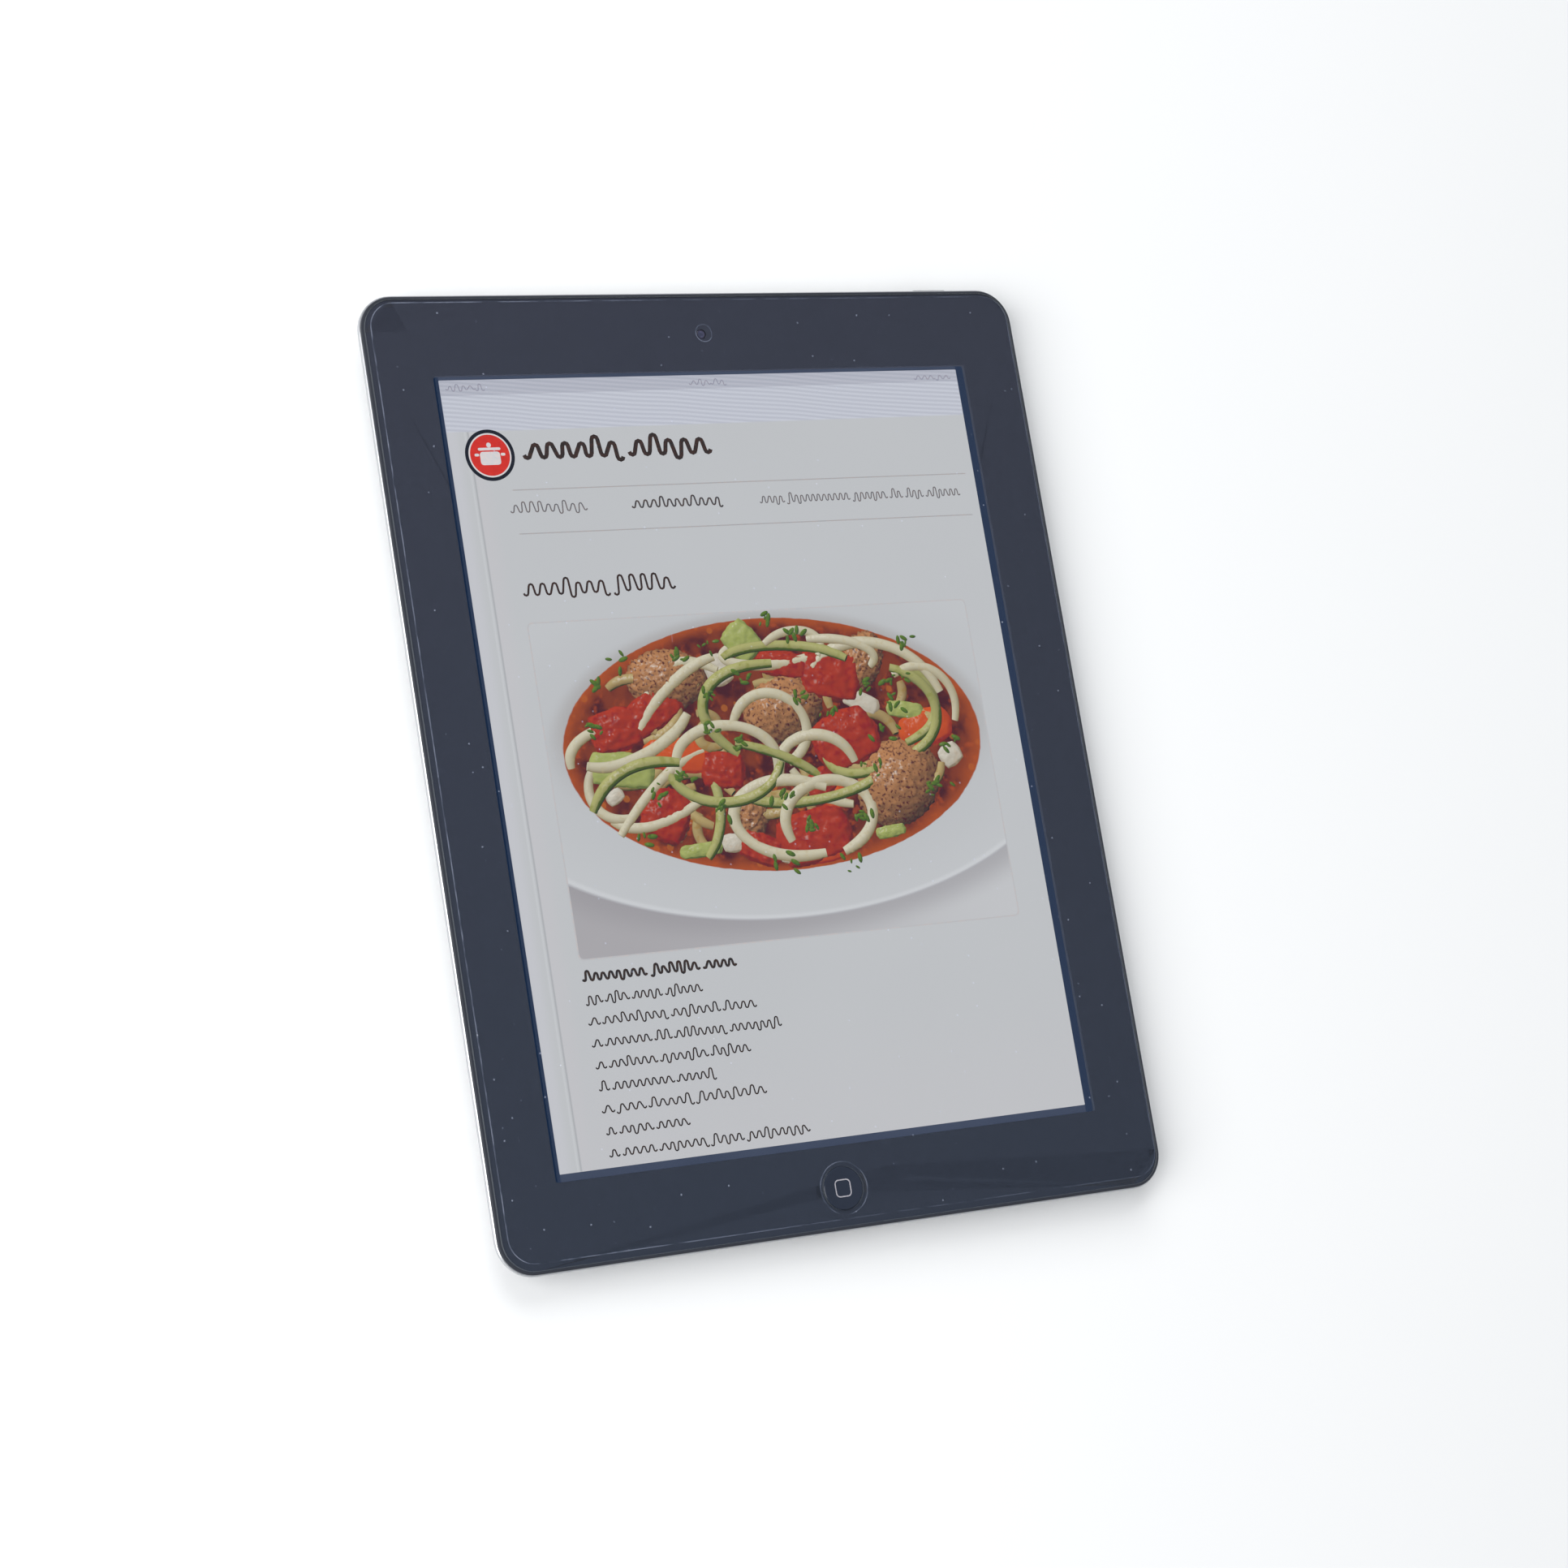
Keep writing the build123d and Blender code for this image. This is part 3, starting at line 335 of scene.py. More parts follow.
@dataclass(frozen=True)
class Rolled(Finish):
    """Thin rolled or turned metal with lines along one way."""

    colour: Colour = (0.62, 0.62, 0.61)
    roughness: float = 0.3
    stretch: tuple = (1.0, 12.0, 1.0)

    def paint(self, s: Shader) -> None:
        """Fine lines, and faint staining."""
        lines = s.noise(1.2, 4, self.stretch)
        stain = s.noise(6.0, 2)
        dark = tuple(part * 0.8 for part in self.colour)
        s.set(
            Base_Color=s.mix(stain.rise(0.3, 0.8), self.colour, dark),
            Metallic=1.0,
            Roughness=self.roughness + (lines - 0.5) * 0.25,
            Normal=s.bump(lines, 0.003),
        )


@dataclass(frozen=True)
class PrintedBlack(Finish):
    """The black ink bonded to the glass, which carries the front's own gloss and, painted into its colour,
    the film's slate haze: a reflection of the sky.
    """

    near: Colour = (0.0236, 0.0288, 0.0406)
    far: Colour = (0.0281, 0.0307, 0.0423)

    def paint(self, s: Shader) -> None:
        """Slate black as painted reflection, a little paler towards the far end as painted light, under a
        soft clear gloss.
        """
        drift = s.noise(60.0, 2)
        clouds = s.noise(45.0, 3)
        height = FILM_CUT.height(s)
        # Painted reflection: the near and far colours and the blue tint of the gloss stand in for the film's
        # slate reflection of the sky, paler towards the far end.
        s.set(
            Base_Color=s.mix(height + (drift - 0.5) * 0.3, self.near, self.far),
            Roughness=0.10 + clouds * 0.08,
            Specular_IOR_Level=0.5,
            Specular_Tint=(0.56, 0.66, 0.95, 1.0),
            Normal=s.flat(),
            # The print lies face to face with the glass, so it is opaque from the front only.
            Alpha=s.facing().rise(-0.5, -0.4),
        )


@dataclass(frozen=True)
class FilmCut:
    """Where the protective film lies, in millimetres: a rounded rectangle with two round holes.

    The display's window is the clear part of the black print under it.
    """

    middle: Point = (0.45, 0.4)
    half: Point = (90.65, 118.2)
    corner: float = 6.8
    holes: tuple[tuple[float, float, float], ...] = ((0.0, -110.1, 6.4), (0.3, 109.6, 2.2))
    window_half: Point = (75.4, 99.55)
    window_rise: float = 0.05
    blur: float = 0.05

    def outline(self, s: Shader) -> Value:
        """Distance from the outline, below zero inside it."""
        across = abs(s.x - self.middle[0]) - (self.half[0] - self.corner)
        along = abs(s.y - self.middle[1]) - (self.half[1] - self.corner)
        corner = (across.above(0.0) ** 2.0 + along.above(0.0) ** 2.0) ** 0.5
        return corner + across.above(along).below(0.0) - self.corner

    def reach(self, s: Shader, x: float, y: float, radius: float) -> Value:
        """Distance from a hole's edge, below zero inside the hole."""
        return ((s.x - x) ** 2.0 + (s.y - y) ** 2.0) ** 0.5 - radius

    def window(self, s: Shader) -> Value:
        """1 over the display's window in the black print, 0 elsewhere."""
        wide, tall = self.window_half
        across = abs(s.x).rise(wide + self.blur, wide - self.blur)
        along = abs(s.y - self.window_rise).rise(tall + self.blur, tall - self.blur)
        return across * along

    def height(self, s: Shader) -> Value:
        """0 at the film's near edge, 1 at its far edge."""
        return (s.y + 118) / 236

    def rim(self, s: Shader) -> Value:
        """A fine line along the outline and round the holes, broken here and there: the pale cut edge with a
        painted highlight, stronger towards the left where the window light falls.
        """
        # Painted highlight: the outline's line is stronger towards the left.
        line = self.outline(s).rise(-0.34, -0.14) * (s.x.rise(10, -80) * 0.7 + 0.3)
        for hole in self.holes:
            line = line.above(self.reach(s, *hole).rise(0.34, 0.10) * 0.7)
        return line * s.noise(5.0, 3).rise(0.34, 0.62)


FILM_CUT = FilmCut()


@dataclass(frozen=True)
class Pane(Finish):
    """Clear glass, of which the pale ground edges show: what lies against it carries its reflection."""

    edge: float = 0.07

    def paint(self, s: Shader) -> None:
        """Show the bevel and the walls as fine pale lines, uneven as ground glass is."""
        up = s.facing()
        bevel = (1 - up.rise(0.9, 0.97)) * up.rise(0.1, 0.3)
        wall = 1 - abs(up).rise(0.1, 0.3)
        ground = s.noise(3.0, 3)
        s.set(
            Base_Color=s.mix(ground, (0.55, 0.61, 0.64), (0.65, 0.71, 0.73)),
            Roughness=0.25 + ground * 0.2,
            Alpha=(bevel + wall) * self.edge,
        )


@dataclass(frozen=True)
class Film(Finish):
    """The protective film: its own soft mirror, a slate haze painted as a reflection of the sky, a pale cut
    rim with a painted highlight, dust, hairs and rub marks.
    """

    # Strength of the painted slate haze, which stands in for the sky's reflection in the film.
    haze: float = 0.016
    face: float = 9.5

    def paint(self, s: Shader) -> None:
        """Mirror and painted haze on the upper face only, dust of two sizes, and short scratches."""
        up = s.facing()
        top = up.rise(0.9, 0.97) * s.z.rise(self.face, self.face + 0.01)
        edge = 1 - abs(up).rise(0.1, 0.3)
        clouds = s.noise(45.0, 3)
        near, pick = s.cells(3.1)
        far, choice = s.cells(8.5)
        dust = near.rise(0.105, 0.03) * pick.rise(0.62, 0.70)
        lint = far.rise(0.030, 0.012) * choice.rise(0.55, 0.6)
        hair = s.noise(5.0, 1, (9.0, 0.55, 1.0)).rise(0.765, 0.80) * s.noise(7.0, 1).rise(0.55, 0.65)
        marks = (dust * 0.50 + lint * 0.75 + hair * 0.14 + FILM_CUT.rim(s) * 0.36).below(1.0)
        # Painted reflection: the slate haze over the display window stands in for the sky seen in the film, a
        # little fainter towards the far end; its slate colour is the first one in the base colour below.
        haze = (0.92 - FILM_CUT.height(s) * 0.10 + (clouds - 0.5) * 0.2) * self.haze
        shown = FILM_CUT.window(s)
        fresnel = s.node("ShaderNodeFresnel", {}, {"IOR": 1.5, "Normal": s.flat()})
        gloss = Value(s, fresnel.outputs[0]) * shown
        solid = haze * shown + marks * 0.5
        s.set(
            Base_Color=s.mix(marks, (0.56, 0.66, 0.95), (0.84, 0.86, 0.90)),
            Metallic=gloss / (gloss + solid + 0.0001) * top,
            Roughness=0.10 + clouds * 0.08,
            Normal=s.flat(),
            Alpha=(gloss + solid) * top + edge * 0.15,
        )


@dataclass(frozen=True)
class Cell(Finish):
    """The display glass where it isn't lit: a painted blue-grey glow, darker in a thin strip at each side."""

    def paint(self, s: Shader) -> None:
        """A painted blue-grey glow with slow clouds, standing in for the light the unlit border shows, darker
        at the sides away from the lit area.
        """
        clouds = s.noise(20.0, 2)
        side = (abs(s.x) - 73.75).rise(-0.1, 0.1)
        # Painted light: the border glows instead of being lit.
        foot = s.mix(clouds, lit(72, 81, 102), lit(83, 92, 113))
        glow = s.mix(side, foot, lit(62, 73, 96))
        s.set(
            Base_Color=(0.02, 0.025, 0.035),
            Roughness=0.3 + clouds * 0.1,
            Specular_IOR_Level=0.1,
            Emission_Color=glow,
            Emission_Strength=1.0,
        )


@dataclass(frozen=True)
class Lens(Finish):
    """A coated lens: near-black glass with a blue and violet bloom."""

    def paint(self, s: Shader) -> None:
        """Rings of coating colour over a dark well."""
        rings = s.noise(1.1, 2)
        s.set(
            Base_Color=s.mix(rings.rise(0.4, 0.6), (0.030, 0.034, 0.062), (0.055, 0.055, 0.105)),
            Roughness=0.18 + rings * 0.1,
            Specular_IOR_Level=0.4,
        )


@dataclass(frozen=True)
class Circuit(Finish):
    """Solder mask with raised tracks, or an amber flexible lead where the base is amber."""

    base: Colour = (0.008, 0.03, 0.055)
    track: Colour = (0.02, 0.075, 0.12)
    pitch: float = 1.4

    def paint(self, s: Shader) -> None:
        """Tracks along both ways and small round pads."""
        stripes = s.noise(self.pitch, 1, (6.0, 0.5, 1.0)).rise(0.5, 0.56)
        spot, _ = s.cells(self.pitch * 2)
        pads = spot.rise(0.22, 0.17)
        s.set(
            Base_Color=s.mix(pads, s.mix(stripes, self.base, self.track), (0.75, 0.62, 0.35)),
            Metallic=pads * 0.9,
            Roughness=0.35 + (1 - pads) * 0.15,
            Normal=s.bump(stripes + pads, 0.02),
        )


@dataclass(frozen=True)
class Woven(Finish):
    """A fine black woven mesh."""

    pitch: float = 0.3

    def paint(self, s: Shader) -> None:
        """Threads each way."""
        turn = 2 * math.pi / self.pitch
        across = s.maths("SINE", s.x * turn, 0.0)
        along = s.maths("SINE", s.y * turn, 0.0)
        weave = across * along
        s.set(
            Base_Color=s.mix(weave.rise(-0.2, 0.6), (0.008, 0.008, 0.009), (0.06, 0.06, 0.065)),
            Roughness=0.55 + weave * 0.1,
            Normal=s.bump(weave, 0.05),
        )


@dataclass(frozen=True)
class Page(Finish):
    """The lit page's ground: a status strip, a paler top band, a grey-white sheet and its left edge.

    Places are in millimetres from the tablet's middle, and the bands lean a little.
    """

    sheet_top: float = 86.1
    band_top: float = 95.4
    sheet_left: float = -68.1
    lean: float = 0.006

    def paint(self, s: Shader) -> None:
        """Plain bands set by height, the sheet's edge by width, with a faint ripple in the top band."""
        sheet = s.mix(s.noise(40.0, 2), lit(188, 191, 196), lit(191, 194, 199))
        blush = s.x.rise(-62, -67) * 0.5
        sheet = s.mix(blush.above(s.y.rise(-60, -95) * 0.3), sheet, lit(194, 193, 199))
        ripple = s.maths("SINE", s.y * 5.6 + s.x * 0.5 + s.noise(30.0, 1) * 9, 0.0)
        band = s.mix(ripple.rise(-1.0, 1.0), lit(184, 188, 201), lit(196, 200, 212))
        tail = s.mix(ripple.rise(-1.0, 1.0), lit(172, 176, 190), lit(182, 185, 198))
        edge = s.y - s.x * self.lean
        body = s.mix(edge.rise(self.sheet_top - 0.2, self.sheet_top + 0.2), sheet, band)
        body = s.mix(edge.rise(self.band_top - 0.1, self.band_top + 0.1), body, tail)
        below = edge.rise(self.sheet_top + 0.1, self.sheet_top - 0.1)
        left = s.x.rise(self.sheet_left + 0.1, self.sheet_left - 0.3) * below
        body = s.mix(left, body, s.mix(s.x.rise(-72.4, -69.5), lit(193, 195, 202), lit(189, 192, 197)))
        line = abs(s.x - self.sheet_left).rise(0.40, 0.05) * below
        gleam = abs(s.x - (self.sheet_left - 0.8)).rise(0.35, 0.1) * below
        body = s.mix(gleam * 0.6, body, lit(198, 201, 206))
        s.glow(s.mix(line * 0.9, body, lit(170, 173, 179)))


@dataclass(frozen=True)
class PageInk(Finish):
    """Marks on the page, with faint coloured fringes from the display's subpixels."""

    shade: Colour = (75, 76, 82)

    def paint(self, s: Shader) -> None:
        """A flat tone that drifts a little between warm and cool."""
        cool = lit(*self.shade)
        warm = lit(self.shade[0] + 10, self.shade[1] + 2, self.shade[2] - 2)
        s.glow(s.mix(s.noise(0.8, 2).rise(0.35, 0.65), cool, warm))


@dataclass(frozen=True)
class DishGround(Finish):
    """The picture's backdrop: a table, a wide-rimmed plate and a well of red-brown broth."""

    well: tuple[float, ...] = (3.0, 2.3, 59.0, 32.4)
    plate: tuple[float, ...] = (2.0, 4.0, 88.0, 46.3)

    def radius(self, s: Shader, round_shape: tuple[float, ...]) -> Value:
        """Distance from an ellipse's middle, 1 on its edge."""
        x, y, wide, tall = round_shape
        across = (s.x - x) / wide
        along = (s.y - y) / tall
        return (across * across + along * along) ** 0.5

    def paint(self, s: Shader) -> None:
        """Build from the table up: table shadow, plate, rim line, well shading, broth and oil."""
        rim = self.radius(s, self.plate)
        well = self.radius(s, self.well)
        table = s.mix((s.x + s.y * 0.6).rise(-75, 35), lit(168, 167, 173), lit(192, 194, 199))
        table = s.mix(rim.rise(1.16, 1.0) * 0.6, table, lit(152, 151, 158))
        plate = s.mix(rim.rise(0.65, 1.0), lit(187, 190, 195), lit(191, 194, 199))
        low = s.y.rise(10, -20)
        plate = s.mix(rim.rise(0.962, 0.982) * low, plate, lit(199, 202, 207))
        plate = s.mix(rim.rise(0.986, 1.0) * low, plate, lit(170, 171, 178))
        plate = s.mix(well.rise(1.10, 1.0) * s.y.rise(-14, 16) * 0.7, plate, lit(166, 164, 166))
        ground = s.mix(rim.rise(0.999, 1.003), plate, table)
        swirl = s.noise(5.5, 5)
        broth = s.mix(swirl.rise(0.35, 0.62), lit(84, 52, 38), lit(128, 76, 52))
        broth = s.mix(s.noise(2.2, 3).rise(0.55, 0.72) * 0.6, broth, lit(168, 88, 58))
        spot, pick = s.cells(3.4)
        droplet = spot.rise(0.30, 0.25) * pick.rise(0.62, 0.66)
        broth = s.mix(droplet * 0.5, broth, lit(184, 116, 76))
        broth = s.mix(well.rise(0.90, 1.0) * 0.7, broth, lit(176, 96, 66))
        edge = well + (s.noise(3.0, 2) - 0.5) * 0.012
        s.glow(s.mix(edge.rise(1.004, 0.996), ground, broth))


@dataclass(frozen=True)
class Food(Finish):
    """A piece of food in the picture, whose light and shade is stored on its mesh."""

    dark: Colour = (60, 40, 30)
    light: Colour = (180, 120, 80)
    speck: Colour = (90, 60, 40)
    fleck: float = 1.2
    strength: float = 0.5
    wetness: float = 0.5

    def paint(self, s: Shader) -> None:
        """Shade from the stored light, with flecks and small wet glints."""
        stored = self.stored(s, "shade")
        flecks = s.noise(self.fleck, 4).rise(0.5, 0.68) * self.strength
        tone = s.mix(stored, lit(*self.dark), lit(*self.light))
        tone = s.mix(flecks, tone, lit(*self.speck))
        skin = self.stored(s, "skin") + (s.noise(1.6, 3) - 0.5) * 0.5
        tone = s.mix(skin.rise(0.35, 0.6), tone, s.mix(stored, lit(34, 50, 28), lit(112, 134, 74)))
        wet = self.stored(s, "glint") * s.noise(0.7, 2).rise(0.42, 0.6) * self.wetness
        s.glow(s.mix(wet, tone, lit(228, 222, 214)))

    @staticmethod
    def stored(s: Shader, name: str) -> Value:
        """Read a number stored on the mesh."""
        made = s.node("ShaderNodeAttribute", {"attribute_name": name})
        return Value(s, made.outputs["Fac"])


@dataclass(frozen=True)
class Floor(Finish):
    """The plain pale floor."""

    def paint(self, s: Shader) -> None:
        """Nearly even off-white."""
        drift = s.noise(400.0, 2)
        s.set(
            Base_Color=s.mix(drift, (0.80, 0.81, 0.81), (0.83, 0.83, 0.83)),
            Roughness=0.9,
            Specular_IOR_Level=0.1,
        )


# ---------------------------------------------------------------- modelling by hand


def alone(thing: bpy.types.Object | None = None) -> None:
    """Leave object mode with only one object selected, or none."""
    if bpy.context.mode != "OBJECT":
        bpy.ops.object.mode_set(mode="OBJECT")
    bpy.ops.object.select_all(action="DESELECT")
    if thing:
        thing.select_set(True)
        bpy.context.view_layer.objects.active = thing


def settle(thing: bpy.types.Object, name: str) -> bpy.types.Object:
    """Name a piece and put its place into its mesh."""
    alone(thing)
    bpy.ops.object.transform_apply(location=True, rotation=True, scale=True)
    thing.name = name
    thing.data.name = name
    return thing


def choose(thing: bpy.types.Object, test: Callable[[Vector, Vector], bool]) -> None:
    """Select in edit mode only the edges whose two ends pass a test."""
    alone(thing)
    bpy.ops.object.mode_set(mode="EDIT")
    bpy.ops.mesh.select_mode(type="EDGE")
    bpy.ops.mesh.select_all(action="DESELECT")
    bpy.ops.object.mode_set(mode="OBJECT")
    points = thing.data.vertices
    for edge in thing.data.edges:
        edge.select = test(points[edge.vertices[0]].co, points[edge.vertices[1]].co)
    bpy.ops.object.mode_set(mode="EDIT")


def panel(name: str, low: Point, high: Point, bottom: float, top: float, corner: float) -> bpy.types.Object:
    """A flat panel with round corners.

    Args:
        name: The piece's name.
        low: Its lower left corner in millimetres.
        high: Its upper right corner in millimetres.
        bottom: The height of its underside in metres.
        top: The height of its face in metres.
        corner: The radius of its corners in millimetres.

    Returns:
        The panel.
    """
    alone()
    middle = ((low[0] + high[0]) / 2 * MM, (low[1] + high[1]) / 2 * MM, (bottom + top) / 2)
    size = ((high[0] - low[0]) * MM, (high[1] - low[1]) * MM, top - bottom)
    bpy.ops.mesh.primitive_cube_add(size=1, location=middle, scale=size)
    made = settle(bpy.context.object, name)
    choose(made, lambda a, b: abs(a.x - b.x) < 1e-7 and abs(a.y - b.y) < 1e-7)
    bpy.ops.mesh.bevel(offset=corner * MM, segments=5, clamp_overlap=True)
    alone(made)
    return made


def disc(name: str, middle: Point, radius: float, bottom: float, top: float) -> bpy.types.Object:
    """A round panel with a softened upper edge.

    Args:
        name: The piece's name.
        middle: Its middle in millimetres.
        radius: Its radius in millimetres.
        bottom: The height of its underside in metres.
        top: The height of its face in metres.

    Returns:
        The panel.
    """
    alone()
    bpy.ops.mesh.primitive_cylinder_add(
        vertices=48, radius=radius * MM, depth=top - bottom,
        location=(middle[0] * MM, middle[1] * MM, (bottom + top) / 2),
    )
    made = settle(bpy.context.object, name)
    choose(made, lambda a, b: min(a.z, b.z) > top - 1e-7)
    bpy.ops.mesh.bevel(offset=(top - bottom) * 0.3, segments=2)
    alone(made)
    return made


def joined(name: str, things: list[bpy.types.Object]) -> bpy.types.Object:
    """Join pieces into one."""
    alone(things[0])
    for thing in things:
        thing.select_set(True)
    bpy.ops.object.join()
    return settle(bpy.context.object, name)


class Body(Enum):
    """The rigid bodies of the tablet."""

    CHASSIS = "chassis"
    HOME = "home_key"


def fitted(piece: bpy.types.Object, body: Body, finish: Finish) -> None:
    """Dress a finished piece, tie it to its body and report it."""
    finish.dress(piece)
    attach(piece, body.value)
    LOG.info("piece %s on %s, %d faces", piece.name, body.value, len(piece.data.polygons))


def printed(piece: bpy.types.Object, finish: Finish) -> None:
    """Put a finished piece on the lit page."""
    fitted(piece, Body.CHASSIS, finish)


# ----------------------------------------------------------------- the tablet's parts

BLACK = Moulded("black_moulding", (0.010, 0.010, 0.012), 0.32, 0.15, 0.003)
STEEL = Rolled("rolled_steel")
AMBER = Circuit("amber_lead", (0.30, 0.14, 0.04), (0.42, 0.22, 0.08), 0.7)
FOAM = Moulded("foam_and_tape", (0.02, 0.02, 0.02), 0.8, 0.5, 0.05)

CAD_FINISHES: dict[Finish, tuple[str, ...]] = {
    Blasted("blasted_aluminium"): ("rear_case", "jack_ring"),
    Satin("satin_surround"): ("surround",),
    BLACK: (
        "power_button", "volume_rocker", "lock_slider", "lock_switch", "headphone_jack", "dock_tongue",
        "front_camera", "light_sensor", "camera_ring", "rear_camera", "speaker_box",
    ),
    FOAM: ("glass_adhesive", "dust_gasket", "home_gasket", "battery_pads"),
    Pane("front_glass"): ("cover_glass",),
    Pane("sensor_glass", 0.05): ("touch_sensor",),
    Film("protective_film"): ("screen_film",),
    PrintedBlack("printed_black"): ("ink_mask",),
    Cell("display_cell"): ("lcd_cell",),
    STEEL: (
        "lcd_pan", "lcd_bezel", "home_plate", "home_switch", "power_plate", "power_switch", "side_plate",
        "volume_switches", "dock_shell", "camera_plate", "microphone", "processor_shield", "radio_shield",
    ),
    Moulded("light_guide_sheet", (0.80, 0.81, 0.81), 0.2, 0.8, 0.01): ("light_guide",),
    Rolled("turned_steel", (0.42, 0.42, 0.43), 0.25, (3.0, 3.0, 3.0)): ("rocker_pin", "small_screws"),
    Rolled("gold_plate", (0.83, 0.62, 0.28), 0.22, (4.0, 1.0, 1.0)): ("dock_contacts",),
    Rolled("nickel_plate", (0.60, 0.60, 0.58), 0.15, (2.0, 2.0, 2.0)): ("cover_magnets",),
    AMBER: ("home_flex", "side_flex", "dock_flex", "display_flex", "touch_flex"),
    Lens("coated_lens"): ("front_lens", "camera_window"),
    Woven("acoustic_mesh"): ("speaker_mesh",),
    Circuit("solder_mask"): ("logic_board", "battery_board"),
    Moulded("chip_resin", (0.02, 0.02, 0.02), 0.5, 0.2, 0.01): ("board_chips",),
    Moulded("graphite_sheet", (0.05, 0.05, 0.055), 0.45, 0.6, 0.02): ("heat_spreader",),
    Moulded("foil_pouch", (0.035, 0.035, 0.038), 0.38, 2.0, 0.03): (
        "battery_left", "battery_middle", "battery_right",
    ),
    Moulded("antenna_carrier", (0.07, 0.07, 0.07), 0.5, 0.3, 0.01): (
        "wifi_antenna", "short_range_antenna",
    ),
}


@dataclass(frozen=True)
class KeyGloss(Finish):
    """The home key's polished black dish, with finger marks."""

    def paint(self, s: Shader) -> None:
        """A clear gloss dulled in smears."""
        smear = s.noise(2.4, 4, (1.0, 2.2, 1.0))
        s.set(
            Base_Color=s.mix(smear, (0.015, 0.021, 0.036), (0.018, 0.024, 0.040)),
            Roughness=0.16 + smear.rise(0.45, 0.75) * 0.10,
            Specular_IOR_Level=0.3,
            Normal=s.bump(smear, 0.001),
        )


@dataclass(frozen=True)
class KeyInk(Finish):
    """The pale grey line printed on the home key."""

    def paint(self, s: Shader) -> None:
        """Grey with worn patches."""
        worn = s.noise(0.5, 3)
        s.set(
            Base_Color=s.mix(worn.rise(0.45, 0.7), (0.36, 0.35, 0.38), (0.26, 0.25, 0.29)),
            Roughness=0.45 + worn * 0.2,
            Normal=s.bump(worn, 0.002),
        )


@dataclass
class HomeKey:
    """The round key, with a plain outlined square in its dish."""

    mark: float = 4.4
    line: float = 0.28
    corner: float = 1.15
    thick: float = 0.012
    dish_radius: float = 4.9
    dish_depth: float = 0.25
    lift: float = 0.004

    def build(self, key: bpy.types.Object) -> None:
        """Dress the key and print its mark on the dish."""
        KeyGloss("key_gloss").dress(key)
        low, high = (Vector(end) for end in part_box("home_button"))
        middle = (low + high) / 2
        alone()
        bpy.ops.mesh.primitive_plane_add(size=self.mark * MM, location=(middle.x, middle.y, high.z))
        mark = settle(bpy.context.object, "home_mark")
        bpy.ops.object.mode_set(mode="EDIT")
        bpy.ops.mesh.select_all(action="SELECT")
        bpy.ops.mesh.bevel(offset=self.corner * MM, segments=8, affect="VERTICES")
        bpy.ops.mesh.select_mode(type="FACE")
        bpy.ops.mesh.select_all(action="SELECT")
        bpy.ops.mesh.inset(thickness=self.line * MM)
        bpy.ops.mesh.delete(type="FACE")
        bpy.ops.mesh.select_all(action="SELECT")
        bpy.ops.mesh.extrude_region_move(TRANSFORM_OT_translate={"value": (0, 0, self.thick * MM)})
        alone(mark)
        self.lay_in_dish(mark, middle)
        bpy.ops.object.mode_set(mode="EDIT")
        bpy.ops.mesh.select_all(action="SELECT")
        bpy.ops.mesh.normals_make_consistent(inside=False)
        alone(mark)
        fitted(mark, Body.HOME, KeyInk("key_ink"))

    def lay_in_dish(self, mark: bpy.types.Object, middle: Vector) -> None:
        """Lower the mark, which starts at the height of the rim, onto the key's shallow dish."""
        for point in mark.data.vertices:
            reach = math.hypot(point.co.x - middle.x, point.co.y - middle.y) / (self.dish_radius * MM)
            point.co.z += (self.lift - self.dish_depth * (1 - reach**2)) * MM


@dataclass
class CameraTrim:
    """A thin dark metal ring round the front camera's lens, under the glass."""

    radius: float = 1.02
    wire: float = 0.10

    def build(self) -> None:
        """Make the ring."""
        low, high = (Vector(end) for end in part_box("front_lens"))
        middle = (low + high) / 2
        alone()
        bpy.ops.mesh.primitive_torus_add(
            major_radius=self.radius * MM, minor_radius=self.wire * MM, major_segments=48, minor_segments=10,
            location=(middle.x, middle.y, high.z),
        )
        ring = settle(bpy.context.object, "camera_trim")
        choose(ring, lambda a, b: True)
        bpy.ops.transform.resize(value=(1.0, 1.0, 0.5), center_override=(middle.x, middle.y, high.z))
        alone(ring)
        metal = Rolled("trim_metal", (0.05, 0.05, 0.065), 0.45, (4.0, 4.0, 4.0))
        fitted(ring, Body.CHASSIS, metal)


# ------------------------------------------------------------------- the lit page


